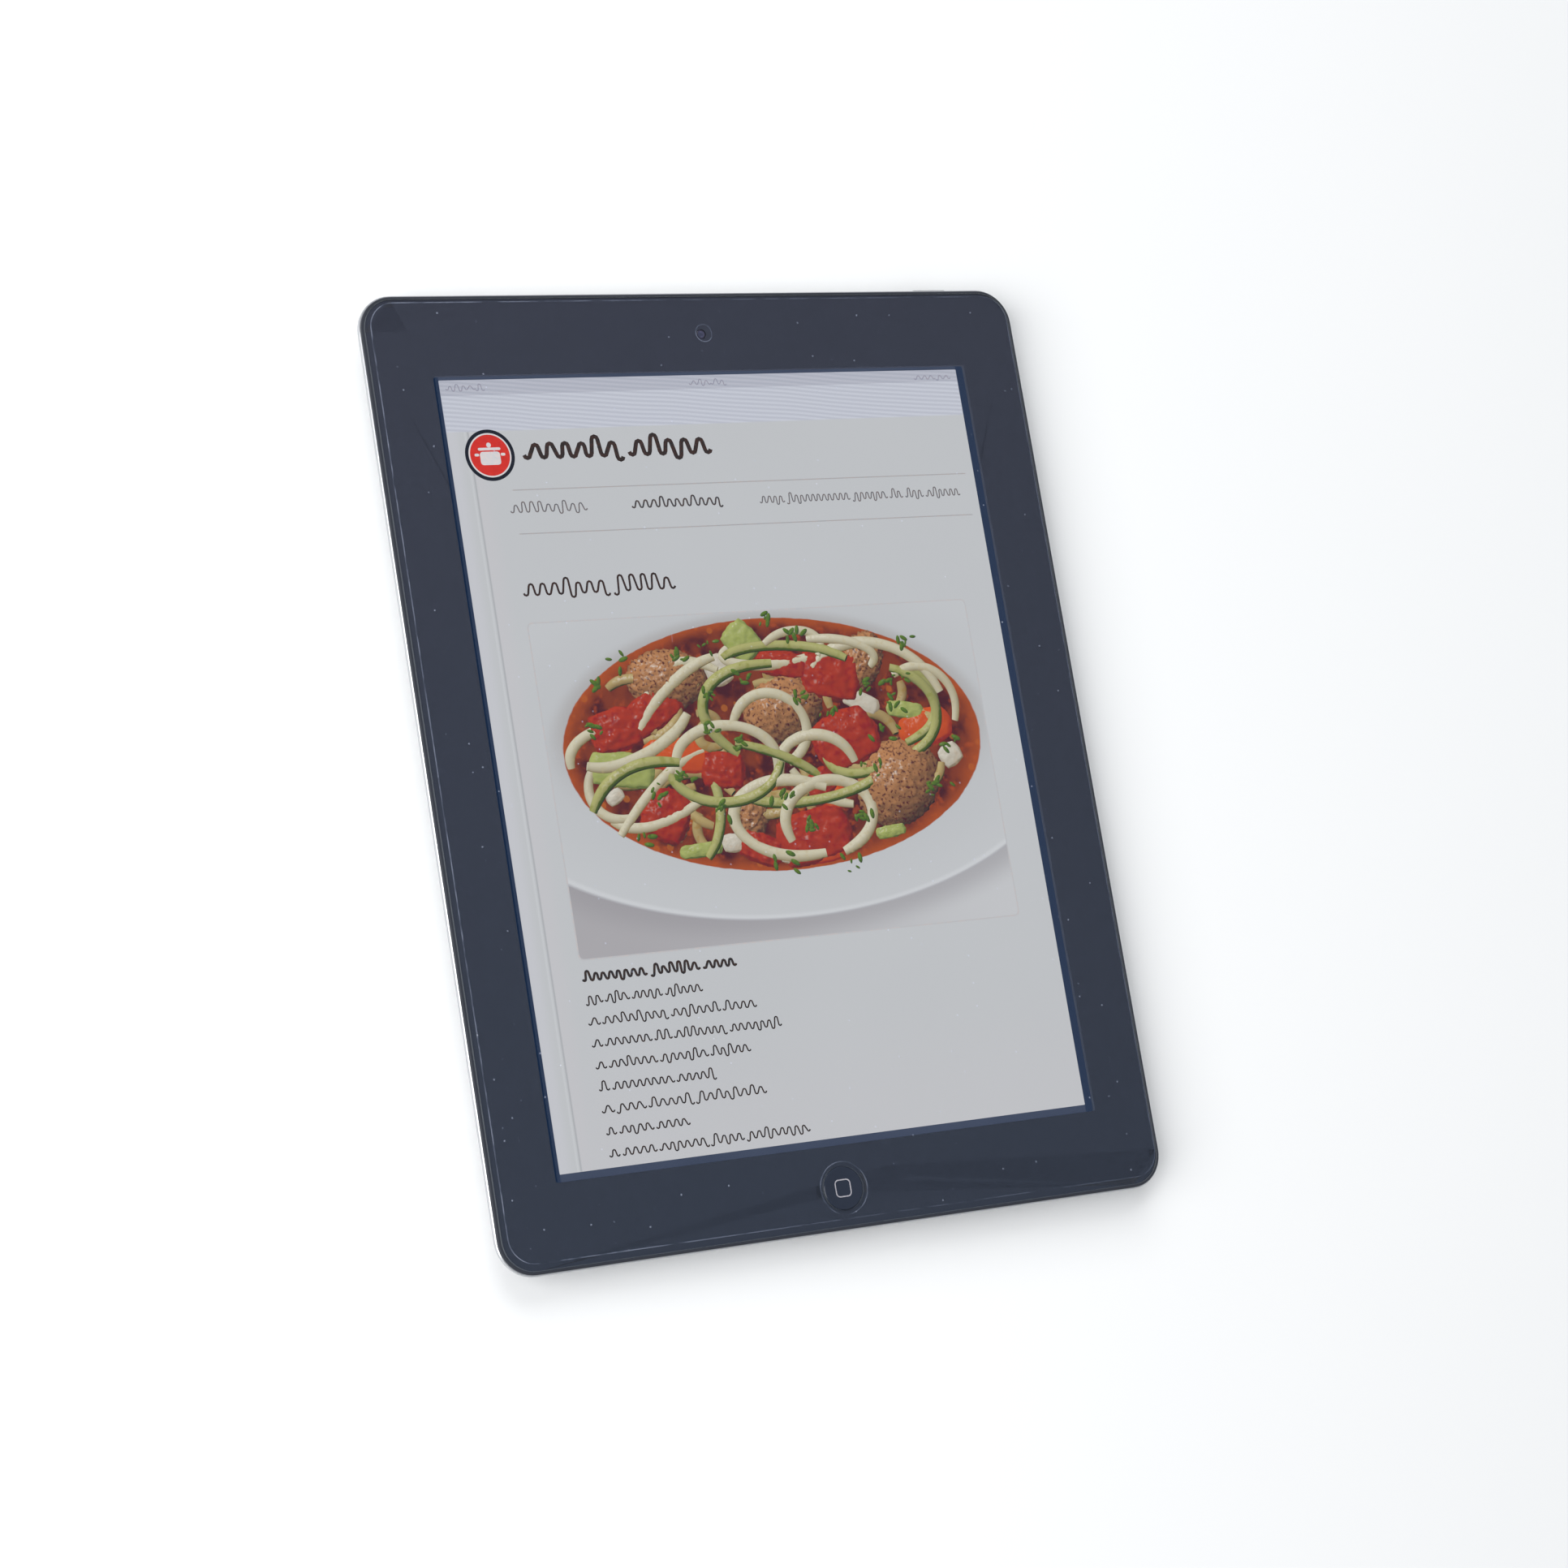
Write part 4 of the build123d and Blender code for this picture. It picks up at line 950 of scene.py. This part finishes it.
@dataclass
class Greek:
    """Lines that stand for writing: each word is one running wave of uneven peaks, with no letters in it."""

    floor: float
    thick: float = 0.010
    seed: int = 11

    def __post_init__(self) -> None:
        """Start the seeded choice of peaks."""
        self.chance = random.Random(self.seed)

    def wave(self, left: float, right: float, base: float, tall: float, peaks: int) -> list[Point]:
        """The pen's path for one word, in millimetres.

        Args:
            left: Where it starts.
            right: Where it ends.
            base: The height of its foot.
            tall: The height of an ordinary peak.
            peaks: How many peaks it has.

        Returns:
            The points along the path.
        """
        half = (right - left) / (2 * peaks)
        points = []
        for k in range(2 * peaks + 1):
            if k % 2:
                level = base + tall * self.chance.choice((1.0, 1.0, 1.0, 0.94, 1.42))
            else:
                level = base - tall * self.chance.choice((0.0, 0.0, 0.0, 0.0, 0.34))
            middle = left + half * k + self.chance.uniform(-0.12, 0.12) * half
            bend = half * 0.38
            inward = -1 if k % 2 else 1
            for step in range(5):
                angle = math.pi * step / 4
                rise = inward * bend * (1 - math.sin(angle))
                points.append((middle - bend * math.cos(angle), level + rise))
        return points

    def line(self, name: str, left: float, right: float, base: float, words: tuple[int, ...], tall: float,
             pen: float, finish: Finish) -> None:
        """One line of words, spread to fill its width.

        Args:
            name: The piece's name.
            left: Where it starts, in millimetres.
            right: Where it ends.
            base: The height of its foot on the page.
            words: How many peaks each word has.
            tall: The height of an ordinary peak.
            pen: The width of the pen's line.
            finish: Its ink.
        """
        gap = tall * 0.55 + pen
        unit = (right - left - pen - gap * (len(words) - 1)) / sum(words)
        curve = bpy.data.curves.new(name, "CURVE")
        curve.dimensions = "3D"
        at = left + pen / 2
        for peaks in words:
            points = self.wave(at, at + unit * peaks, base + pen / 2, tall - pen, peaks)
            line = curve.splines.new("POLY")
            line.points.add(len(points) - 1)
            for point, (x, y) in zip(line.points, points):
                point.co = (x * MM, y * MM, 0.0, 1.0)
            at += unit * peaks + gap
        curve.bevel_depth = pen / 2 * MM
        curve.bevel_resolution = 1
        curve.use_fill_caps = True
        made = bpy.data.objects.new(name, curve)
        bpy.context.collection.objects.link(made)
        alone(made)
        bpy.ops.object.convert(target="MESH")
        made = bpy.context.object
        made.scale = (1.0, 1.0, self.thick / pen)
        made.location = (0.0, 0.0, self.floor + self.thick / 2 * MM)
        printed(settle(made, name), finish)


@dataclass
class Emblem:
    """A plain round badge with a cooking pot on it."""

    middle: Point = (-63.1, 79.6)
    radius: float = 6.6
    floor: float = 0.0

    def build(self) -> None:
        """Stack the ring, the red disc and the pot, each a little above the last."""
        x, y = self.middle
        step = 0.012 * MM
        levels = [self.floor + step * k for k in range(5)]
        black = PageInk("badge_black", (34, 34, 38))
        white = PageInk("badge_white", (205, 206, 211))
        red = PageInk("badge_red", (198, 70, 62))
        rounds = (("badge_ring", 1.0, black), ("badge_line", 0.86, white), ("badge_disc", 0.80, red))
        for k, (name, share, ink) in enumerate(rounds):
            layer = disc(name, self.middle, self.radius * share, levels[k], levels[k + 1])
            printed(layer, ink)
        pot = [
            panel("pot", (x - 2.7, y - 2.5), (x + 2.7, y + 0.9), levels[3], levels[4], 0.8),
            panel("lid", (x - 3.0, y + 1.25), (x + 3.0, y + 1.95), levels[3], levels[4], 0.33),
            panel("left_handle", (x - 4.1, y - 0.2), (x - 2.9, y + 0.5), levels[3], levels[4], 0.3),
            panel("right_handle", (x + 2.9, y - 0.2), (x + 4.1, y + 0.5), levels[3], levels[4], 0.3),
            disc("knob", (x, y + 2.6), 0.62, levels[3], levels[4]),
        ]
        printed(joined("badge_pot", pot), white)


@dataclass
class Soup:
    """The page's picture: a plate of soup, modelled in the round, lit, then pressed nearly flat."""

    floor: float
    low: Point = (-60.0, -47.0)
    high: Point = (64.0, 36.5)
    press: float = 0.0075
    sun: Vector = Vector((-0.45, 0.62, 0.65)).normalized()
    seed: int = 21

    def build(self) -> None:
        """Lay the backdrop, then the food from the bottom up."""
        self.chance = random.Random(self.seed)
        line = 0.35
        low = (self.low[0] - line, self.low[1] - line)
        high = (self.high[0] + line, self.high[1] + line)
        edge = panel("picture_edge", low, high, self.floor, self.floor + 0.004 * MM, 1.4)
        printed(edge, PageInk("picture_line", (182, 185, 191)))
        ground = panel("dish_ground", self.low, self.high, self.floor, self.floor + 0.01 * MM, 1.2)
        printed(ground, DishGround("dish_ground"))
        self.meat()
        self.lumps()
        self.noodles()
        self.leaves()

    def light(self, thing: bpy.types.Object, depth: float, skin: float = 0.0) -> bpy.types.Object:
        """Store light, glint and skin on a mesh from its shape, then press it flat.

        Args:
            thing: The food, modelled in the round above the broth.
            depth: How high it counts as fully out of the shadow, in millimetres.
            skin: How much of its sides has a green skin.

        Returns:
            The same object.
        """
        mesh = thing.data
        stores = [mesh.attributes.new(name, "FLOAT", "POINT") for name in ("shade", "glint", "skin")]
        half = (self.sun + Vector((0, 0, 1))).normalized()
        for index, point in enumerate(mesh.vertices):
            normal = point.normal
            clear = min(1.0, max(0.0, point.co.z / MM / depth))
            light = 0.5 + 0.5 * normal.dot(self.sun)
            stores[0].data[index].value = light**1.6 * (0.30 + 0.70 * clear)
            stores[1].data[index].value = max(0.0, normal.dot(half)) ** 70
            stores[2].data[index].value = skin * max(0.0, normal.x * 0.5 - normal.y * 0.85)
        for point in mesh.vertices:
            point.co.z = self.floor + 0.012 * MM + max(0.0, point.co.z) * self.press
        mesh.update()
        return thing

    def lump(self, x: float, y: float, half: tuple[float, float, float], turn: float, rough: float,
             lift: float, cube: float = 0.0, grain: float = 1.7) -> bpy.types.Object:
        """One lump, sizes in millimetres.

        Args:
            x: Its middle across the picture.
            y: Its middle up the picture.
            half: Its half sizes.
            turn: Its turn in degrees.
            rough: How uneven its skin is.
            lift: The height of its middle.
            cube: How far it is from round towards cut square.
            grain: The size of the bumps in its skin.

        Returns:
            The lump, in the round.
        """
        alone()
        bpy.ops.mesh.primitive_ico_sphere_add(subdivisions=5, radius=1.0)
        made = bpy.context.object
        if cube:
            cast = made.modifiers.new("square", "CAST")
            cast.cast_type = "CUBOID"
            cast.factor = cube
            bpy.ops.object.modifier_apply(modifier="square")
        made.scale = tuple(part * MM for part in half)
        made.rotation_euler = (0, 0, math.radians(turn))
        made.location = (x * MM, y * MM, lift * MM)
        settle(made, "lump")
        skin = bpy.data.textures.new("skin", "CLOUDS")
        skin.noise_scale = grain * MM
        skin.noise_depth = 3
        shift = made.modifiers.new("skin", "DISPLACE")
        shift.texture = skin
        shift.texture_coords = "LOCAL"
        shift.strength = rough * MM
        shift.mid_level = 0.5
        bpy.ops.object.modifier_apply(modifier="skin")
        return made

    def group(self, name: str, lumps: list[bpy.types.Object], finish: Finish, depth: float,
              skin: float = 0.0) -> None:
        """Light, join and place a group of alike food."""
        pieces = [self.light(thing, depth, skin) for thing in lumps]
        printed(joined(name, pieces), finish)

    def meat(self) -> None:
        """Browned meatballs, rough all over."""
        spots = (
            (-25, 20.5, 11.0, 7.6), (6.0, 11.0, 11.5, 8.4), (35.5, -10.0, 13.0, 10.4),
            (30.5, 22.0, 8.4, 5.6), (-8.5, -15.5, 7.0, 5.2), (-30, -16.0, 5.0, 4.2),
        )
        lumps = [
            self.lump(x, y, (a, b, b), 18 * k, 2.6, 3.0, 0.0, 1.0)
            for k, (x, y, a, b) in enumerate(spots)
        ]
        finish = Food("browned_meat", (44, 28, 22), (182, 134, 102), (84, 52, 36), 0.8, 0.9, 0.9)
        self.group("dish_meat", lumps, finish, 5.0)

    def lumps(self) -> None:
        """Tomato, carrot, celery and onion pieces."""
        tomato = (
            (-41, 8.5, 7.2, 5.4, 10), (-30, 13.0, 8.2, 5.0, 30), (21.0, 19.0, 8.8, 6.6, -12),
            (22.5, 2.0, 9.6, 7.4, 20), (-13.5, -3.5, 6.0, 4.8, -8), (9.0, -22.0, 10.8, 6.8, 12),
            (-31.0, -13.5, 6.8, 6.4, 60), (-6.5, -24.0, 5.8, 3.8, -25), (8.0, 22.5, 7.4, 3.4, -10),
            (13.0, -9.0, 4.4, 3.6, 30),
        )
        self.group(
            "dish_tomato",
            [self.lump(x, y, (a, b, 4.4), turn, 1.5, 5.0, 0.5) for x, y, a, b, turn in tomato],
            Food("tomato", (84, 34, 25), (178, 78, 60), (138, 56, 42), 1.4, 0.7, 0.35), 6.0,
        )
        carrot = (
            (-25, 1.0, 10.0, 4.6, -8), (46, 3.5, 8.2, 5.0, 14),
            (11, -26.5, 6.4, 2.6, 5), (17, -13, 3.6, 2.6, 40),
        )
        self.group(
            "dish_carrot",
            [self.lump(x, y, (a, b, 3.4), turn, 0.5, 4.6, 0.3) for x, y, a, b, turn in carrot],
            Food("carrot", (124, 50, 28), (206, 100, 62), (182, 80, 52), 2.6, 0.4), 5.0,
        )
        celery = (
            (-41, -1.5, 9.0, 4.6, -8), (-2.5, 29.0, 4.6, 5.2, 40), (-23, -23.0, 6.0, 1.8, 4),
            (41, 8.5, 5.4, 2.2, -10), (31, -22.5, 4.4, 1.6, 6),
        )
        self.group(
            "dish_celery",
            [self.lump(x, y, (a, b, 2.8), turn, 0.8, 5.0, 0.5) for x, y, a, b, turn in celery],
            Food("celery", (74, 88, 48), (172, 180, 118), (140, 152, 88), 1.4, 0.4), 5.0,
        )
        onion = (
            (-10.5, 22.0, 3.6, 4.2, 20), (28.5, 11.5, 5.6, 2.6, -25), (52, -4.0, 3.4, 3.0, 30),
            (-14, -22, 3.0, 2.4, 0), (-44, -8, 2.6, 1.8, 30), (1.5, -27, 3.0, 1.6, -10),
        )
        self.group(
            "dish_onion",
            [self.lump(x, y, (a, b, 2.4), turn, 0.5, 5.0, 0.4) for x, y, a, b, turn in onion],
            Food("onion", (120, 106, 90), (206, 202, 192), (184, 166, 146), 1.6, 0.35), 5.0,
        )

    def noodle(self, middle: Point, half: Point, start: float, end: float, turn: float, lift: float,
               thick: float) -> bpy.types.Object:
        """One curled noodle along part of an ellipse.

        Args:
            middle: The ellipse's middle.
            half: Its half sizes in millimetres.
            start: The angle where the noodle starts, in degrees.
            end: The angle where it ends.
            turn: The ellipse's turn.
            lift: How high it lies, in millimetres.
            thick: Its radius.

        Returns:
            The noodle as a mesh, in the round.
        """
        curve = bpy.data.curves.new("noodle", "CURVE")
        curve.dimensions = "3D"
        line = curve.splines.new("NURBS")
        count = max(6, int(abs(end - start) / 18))
        line.points.add(count - 1)
        spin = Matrix.Rotation(math.radians(turn), 2)
        for k, point in enumerate(line.points):
            angle = math.radians(start + (end - start) * k / (count - 1))
            place = spin @ Vector((half[0] * math.cos(angle), half[1] * math.sin(angle)))
            height = lift + 1.3 * math.sin(angle * 1.5 + turn)
            point.co = ((middle[0] + place.x) * MM, (middle[1] + place.y) * MM, height * MM, 1.0)
            point.radius = 0.75 if k in (0, count - 1) else self.chance.uniform(0.92, 1.1)
        line.order_u = 4
        line.use_endpoint_u = True
        curve.bevel_depth = thick * MM
        curve.bevel_resolution = 3
        curve.resolution_u = 6
        curve.use_fill_caps = True
        made = bpy.data.objects.new("noodle", curve)
        bpy.context.collection.objects.link(made)
        alone(made)
        bpy.ops.object.convert(target="MESH")
        return bpy.context.object

    def tangle(self, count: int) -> list[bpy.types.Object]:
        """Loose arcs in the gaps under the main loops, kept inside the broth."""
        arcs = []
        while len(arcs) < count:
            x, y = self.chance.uniform(-46, 48), self.chance.uniform(-20, 24)
            if ((x - 2.5) / 46) ** 2 + ((y - 1.5) / 22) ** 2 > 1.0:
                continue
            start = self.chance.uniform(0, 360)
            reach = (self.chance.uniform(5, 11), self.chance.uniform(3.5, 7))
            sweep = self.chance.uniform(70, 170)
            turn = self.chance.uniform(-40, 40)
            arcs.append(self.noodle((x, y), reach, start, start + sweep, turn, 5.6, 1.35))
        return arcs

    def noodles(self) -> None:
        """Pale noodles, and some with a green skin."""
        under = Food("low_noodle", (96, 76, 48), (186, 168, 124), (150, 118, 78), 1.6, 0.5)
        self.group("dish_tangle", self.tangle(26), under, 7.0, 0.7)
        pale = (
            ((-12, -1.5), (14.5, 9.5), -20, 200, 0, 8.5, 1.45),
            ((1.5, 6.0), (10.5, 9.5), -70, 165, 0, 9.5, 1.4),
            ((13, -4.5), (11.0, 8.5), 5, 190, 0, 9.0, 1.45),
            ((4, -17.0), (17.0, 10.0), 55, 300, -6, 9.0, 1.5),
            ((14, -17.5), (13.0, 9.5), -85, 200, 10, 10.0, 1.5),
            ((33, 13), (19.5, 14.0), 15, 165, -12, 9.0, 1.5),
            ((46, 10), (10.5, 10.0), -10, 150, -20, 9.5, 1.25),
            ((-36, 7.5), (16.5, 6.0), 195, 340, 22, 8.6, 1.5),
            ((-43, 3), (12.0, 6.5), 60, 190, 10, 7.5, 1.35),
            ((-32, -12), (20.0, 5.0), 10, 130, 42, 7.8, 1.3),
            ((-31, -8), (16.0, 7.0), 185, 300, 20, 7.4, 1.35),
            ((6, 26), (15.0, 3.6), 150, 345, 2, 8.0, 1.3),
            ((11, 26), (9.0, 5.0), -40, 140, 10, 8.2, 1.15),
            ((-19, 12), (13.0, 13.0), 10, 120, 40, 8.8, 1.35),
            ((-43, -6), (8.0, 8.0), 110, 270, 20, 6.8, 1.3),
            ((25, -1), (20.0, 14.0), 195, 260, 0, 7.0, 1.3),
            ((22, 24), (13.0, 4.5), -30, 120, -6, 8.4, 1.2),
            ((-22, 15), (16.0, 4.6), 20, 150, 38, 9.2, 1.4),
        )
        self.group(
            "dish_noodles", [self.noodle(*spec) for spec in pale],
            Food("pale_noodle", (112, 98, 72), (206, 202, 182), (180, 166, 130), 1.3, 0.35), 8.0, 0.45,
        )
        skinned = (
            ((-13, -1.5), (16.0, 10.5), 185, 355, 0, 8.8, 1.4),
            ((3, 10), (20.0, 13.0), 90, 240, -8, 9.0, 1.5),
            ((12, -6.5), (22.0, 6.5), 195, 350, 6, 9.0, 1.4),
            ((36, 8), (14.5, 12.0), -80, 80, 0, 9.2, 1.45),
            ((-34, -12), (17.0, 12.0), 50, 160, 12, 8.4, 1.5),
            ((-22, -14), (6.0, 12.0), -65, 65, -10, 8.2, 1.35),
            ((9, 23), (18.0, 4.4), 15, 170, -4, 9.2, 1.35),
            ((31, 2), (16.0, 8.0), 170, 270, 20, 8.0, 1.35),
            ((34, 12), (17.0, 12.0), -60, 60, -14, 8.6, 1.35),
            ((-2, -4), (18.0, 5.0), 20, 120, -20, 8.6, 1.3),
        )
        self.group(
            "dish_skinned", [self.noodle(*spec) for spec in skinned],
            Food("skinned_noodle", (60, 66, 36), (178, 178, 124), (132, 136, 82), 2.4, 0.6), 8.0, 1.3,
        )

    def leaves(self) -> None:
        """Chopped leaves scattered over the soup."""
        bits: list[bpy.types.Object] = []
        clusters = [
            (5, 34.5), (-43, 20), (-13, 15.5), (-33, -9), (3, -12), (28, -6), (43, 26), (-1, -28), (12, 14),
            (30, 17), (-22, 26), (-8, 3), (38, 10), (-38, -17.5), (18, -29), (50, -1), (-11, 28), (24, -18),
            (-24, -5), (35, 3), (-17, -13), (46, -12), (-47, 9), (12, 30), (-35, 25), (20, 8), (8, -20),
            (-3, 20), (40, 16), (-14, 7),
        ]
        for x, y in clusters:
            for _ in range(self.chance.randint(4, 9)):
                alone()
                reach = self.chance.uniform(0.35, 1.0)
                bpy.ops.mesh.primitive_ico_sphere_add(subdivisions=2, radius=1.0)
                leaf = bpy.context.object
                leaf.scale = (reach * 1.5 * MM, reach * 0.7 * MM, reach * 0.5 * MM)
                leaf.rotation_euler = (self.chance.uniform(-0.5, 0.5), 0, self.chance.uniform(0, math.tau))
                spot = (x + self.chance.gauss(0, 1.7), y + self.chance.gauss(0, 1.2), 12.5)
                leaf.location = tuple(part * MM for part in spot)
                bits.append(settle(leaf, "leaf"))
        finish = Food("leaf", (32, 54, 30), (104, 132, 76), (54, 84, 44), 0.8, 0.5, 0.2)
        self.group("dish_leaves", bits, finish, 8.0)


@dataclass
class LitPage:
    """The page on the display: ground, badge, headings, rules, picture and lines of marks."""

    def build(self) -> None:
        """Build from the ground up, between the display and the touch sensor."""
        low, high = (Vector(end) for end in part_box("active_screen"))
        ground = panel("lit_page", (low.x / MM, low.y / MM), (high.x / MM, high.y / MM), low.z, high.z, 0.2)
        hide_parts("active_screen")
        printed(ground, Page("lit_page"))
        top = high.z + 0.004 * MM
        greek = Greek(top)
        dark = PageInk("heading_ink", (68, 67, 69))
        soft = PageInk("nav_ink", (112, 114, 122))
        strong = PageInk("strong_ink", (84, 86, 94))
        text = PageInk("text_ink", (66, 68, 76))
        faint = PageInk("status_ink", (138, 141, 160))
        for name, left, right, words in (
            ("status_left", -72.0, -62.0, (4, 1)),
            ("status_time", -5.0, 5.0, (3, 2)),
            ("status_right", 61.0, 71.5, (3, 2)),
        ):
            greek.line(name, left, right, 96.4, words, 1.2, 0.20, faint)
        Emblem(floor=top).build()
        greek.line("page_heading", -53.5, -2.7, 78.0, (6, 5), 4.7, 1.15, dark)
        greek.line("nav_first", -59.7, -39.5, 64.6, (9,), 2.2, 0.34, soft)
        greek.line("nav_second", -26.5, -1.5, 64.6, (11,), 2.3, 0.46, strong)
        greek.line("nav_third", 9.5, 68.4, 64.6, (4, 11, 6, 2, 3, 6), 2.0, 0.32, soft)
        greek.line("section_heading", -59.5, -18.8, 43.4, (7, 5), 3.4, 0.56, dark)
        self.rules(top)
        Soup(floor=top).build()
        greek.line("recipe_name", -60.0, -18.5, -52.6, (8, 6, 4), 2.3, 0.66, text)
        rows = (
            (-29.0, (2, 3, 4, 5)), (-15.0, (1, 8, 6, 4)), (-9.0, (1, 6, 2, 7, 7)), (-18.5, (1, 6, 6, 5)),
            (-29.0, (1, 8, 5)), (-16.0, (1, 3, 5, 8)), (-38.0, (1, 4, 4)), (-6.0, (1, 4, 6, 4, 8)),
        )
        for row, (right, words) in enumerate(rows):
            greek.line(f"recipe_line_{row + 1}", -60.0, right, -57.9 - 5.33 * row, words, 2.0, 0.38, text)

    def rules(self, top: float) -> None:
        """The two thin grey lines above and below the row of links."""
        ink = PageInk("rule_ink", (166, 168, 174))
        for name, height in (("rule_upper", 70.5), ("rule_lower", 59.3)):
            line = panel(name, (-58.5, height - 0.14), (71.2, height + 0.14), top, top + 0.02 * MM, 0.05)
            printed(line, ink)


# ----------------------------------------------------------------------- studio


@dataclass
class Studio:
    """Floor, lights, world and camera."""

    eye: tuple[float, float, float] = (-0.4215, -0.1503, 0.8018)
    right: tuple[float, float, float] = (0.8821, -0.1613, 0.4425)
    down: tuple[float, float, float] = (-0.0715, -0.9745, -0.2126)
    lens: float = 83.5
    sensor: float = 36.0

    def build(self) -> None:
        """Set up everything that isn't the tablet."""
        scene = bpy.context.scene
        scene.view_settings.view_transform = "Standard"
        self.camera(scene)
        self.floor()
        self.lights()
        world = bpy.data.worlds.new("studio_air")
        world.use_nodes = True
        air = world.node_tree.nodes["Background"]
        air.inputs["Color"].default_value = (0.93, 0.96, 1.0, 1.0)
        air.inputs["Strength"].default_value = 0.45
        scene.world = world

    def camera(self, scene: bpy.types.Scene) -> None:
        """Place the camera where the tablet is seen from."""
        data = bpy.data.cameras.new("camera")
        data.lens = self.lens
        data.sensor_width = self.sensor
        data.clip_start = 0.01
        made = bpy.data.objects.new("camera", data)
        across = Vector(self.right).normalized()
        up = -Vector(self.down)
        back = across.cross(up).normalized()
        up = back.cross(across)
        turn = Matrix((across, up, back)).transposed().to_4x4()
        made.matrix_world = Matrix.Translation(self.eye) @ turn
        scene.collection.objects.link(made)
        scene.camera = made

    def floor(self) -> None:
        """A wide pale floor."""
        alone()
        bpy.ops.mesh.primitive_grid_add(x_subdivisions=8, y_subdivisions=8, size=14)
        floor = settle(bpy.context.object, "studio_floor")
        Floor("studio_floor").dress(floor)

    def lights(self) -> None:
        """A large window light from the left and a soft fill from above the far end."""
        for name, place, size, power in (
            ("window_light", (-1.3, -0.15, 0.95), 1.2, 29.0),
            ("fill_light", (-0.3, 1.6, 1.5), 1.6, 26.0),
        ):
            data = bpy.data.lights.new(name, "AREA")
            data.shape = "SQUARE"
            data.size = size
            data.energy = power
            made = bpy.data.objects.new(name, data)
            turn = Vector(place).to_track_quat("Z", "Y").to_matrix().to_4x4()
            made.matrix_world = Matrix.Translation(place) @ turn
            bpy.context.scene.collection.objects.link(made)


def main() -> None:
    """Load the frame, dress it, add the looks and set the studio."""
    logging.basicConfig(level=logging.INFO, format="%(message)s")
    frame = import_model()
    nodes = frame["nodes"]
    LOCKED.update(thing.name for thing in nodes.values())
    for finish, names in CAD_FINISHES.items():
        for name in names:
            finish.dress(nodes[name])
            LOG.info("node %s in %s", name, finish.name)
    HomeKey().build(nodes["home_button"])
    CameraTrim().build()
    LitPage().build()
    Studio().build()


if __name__ == "__main__":
    main()
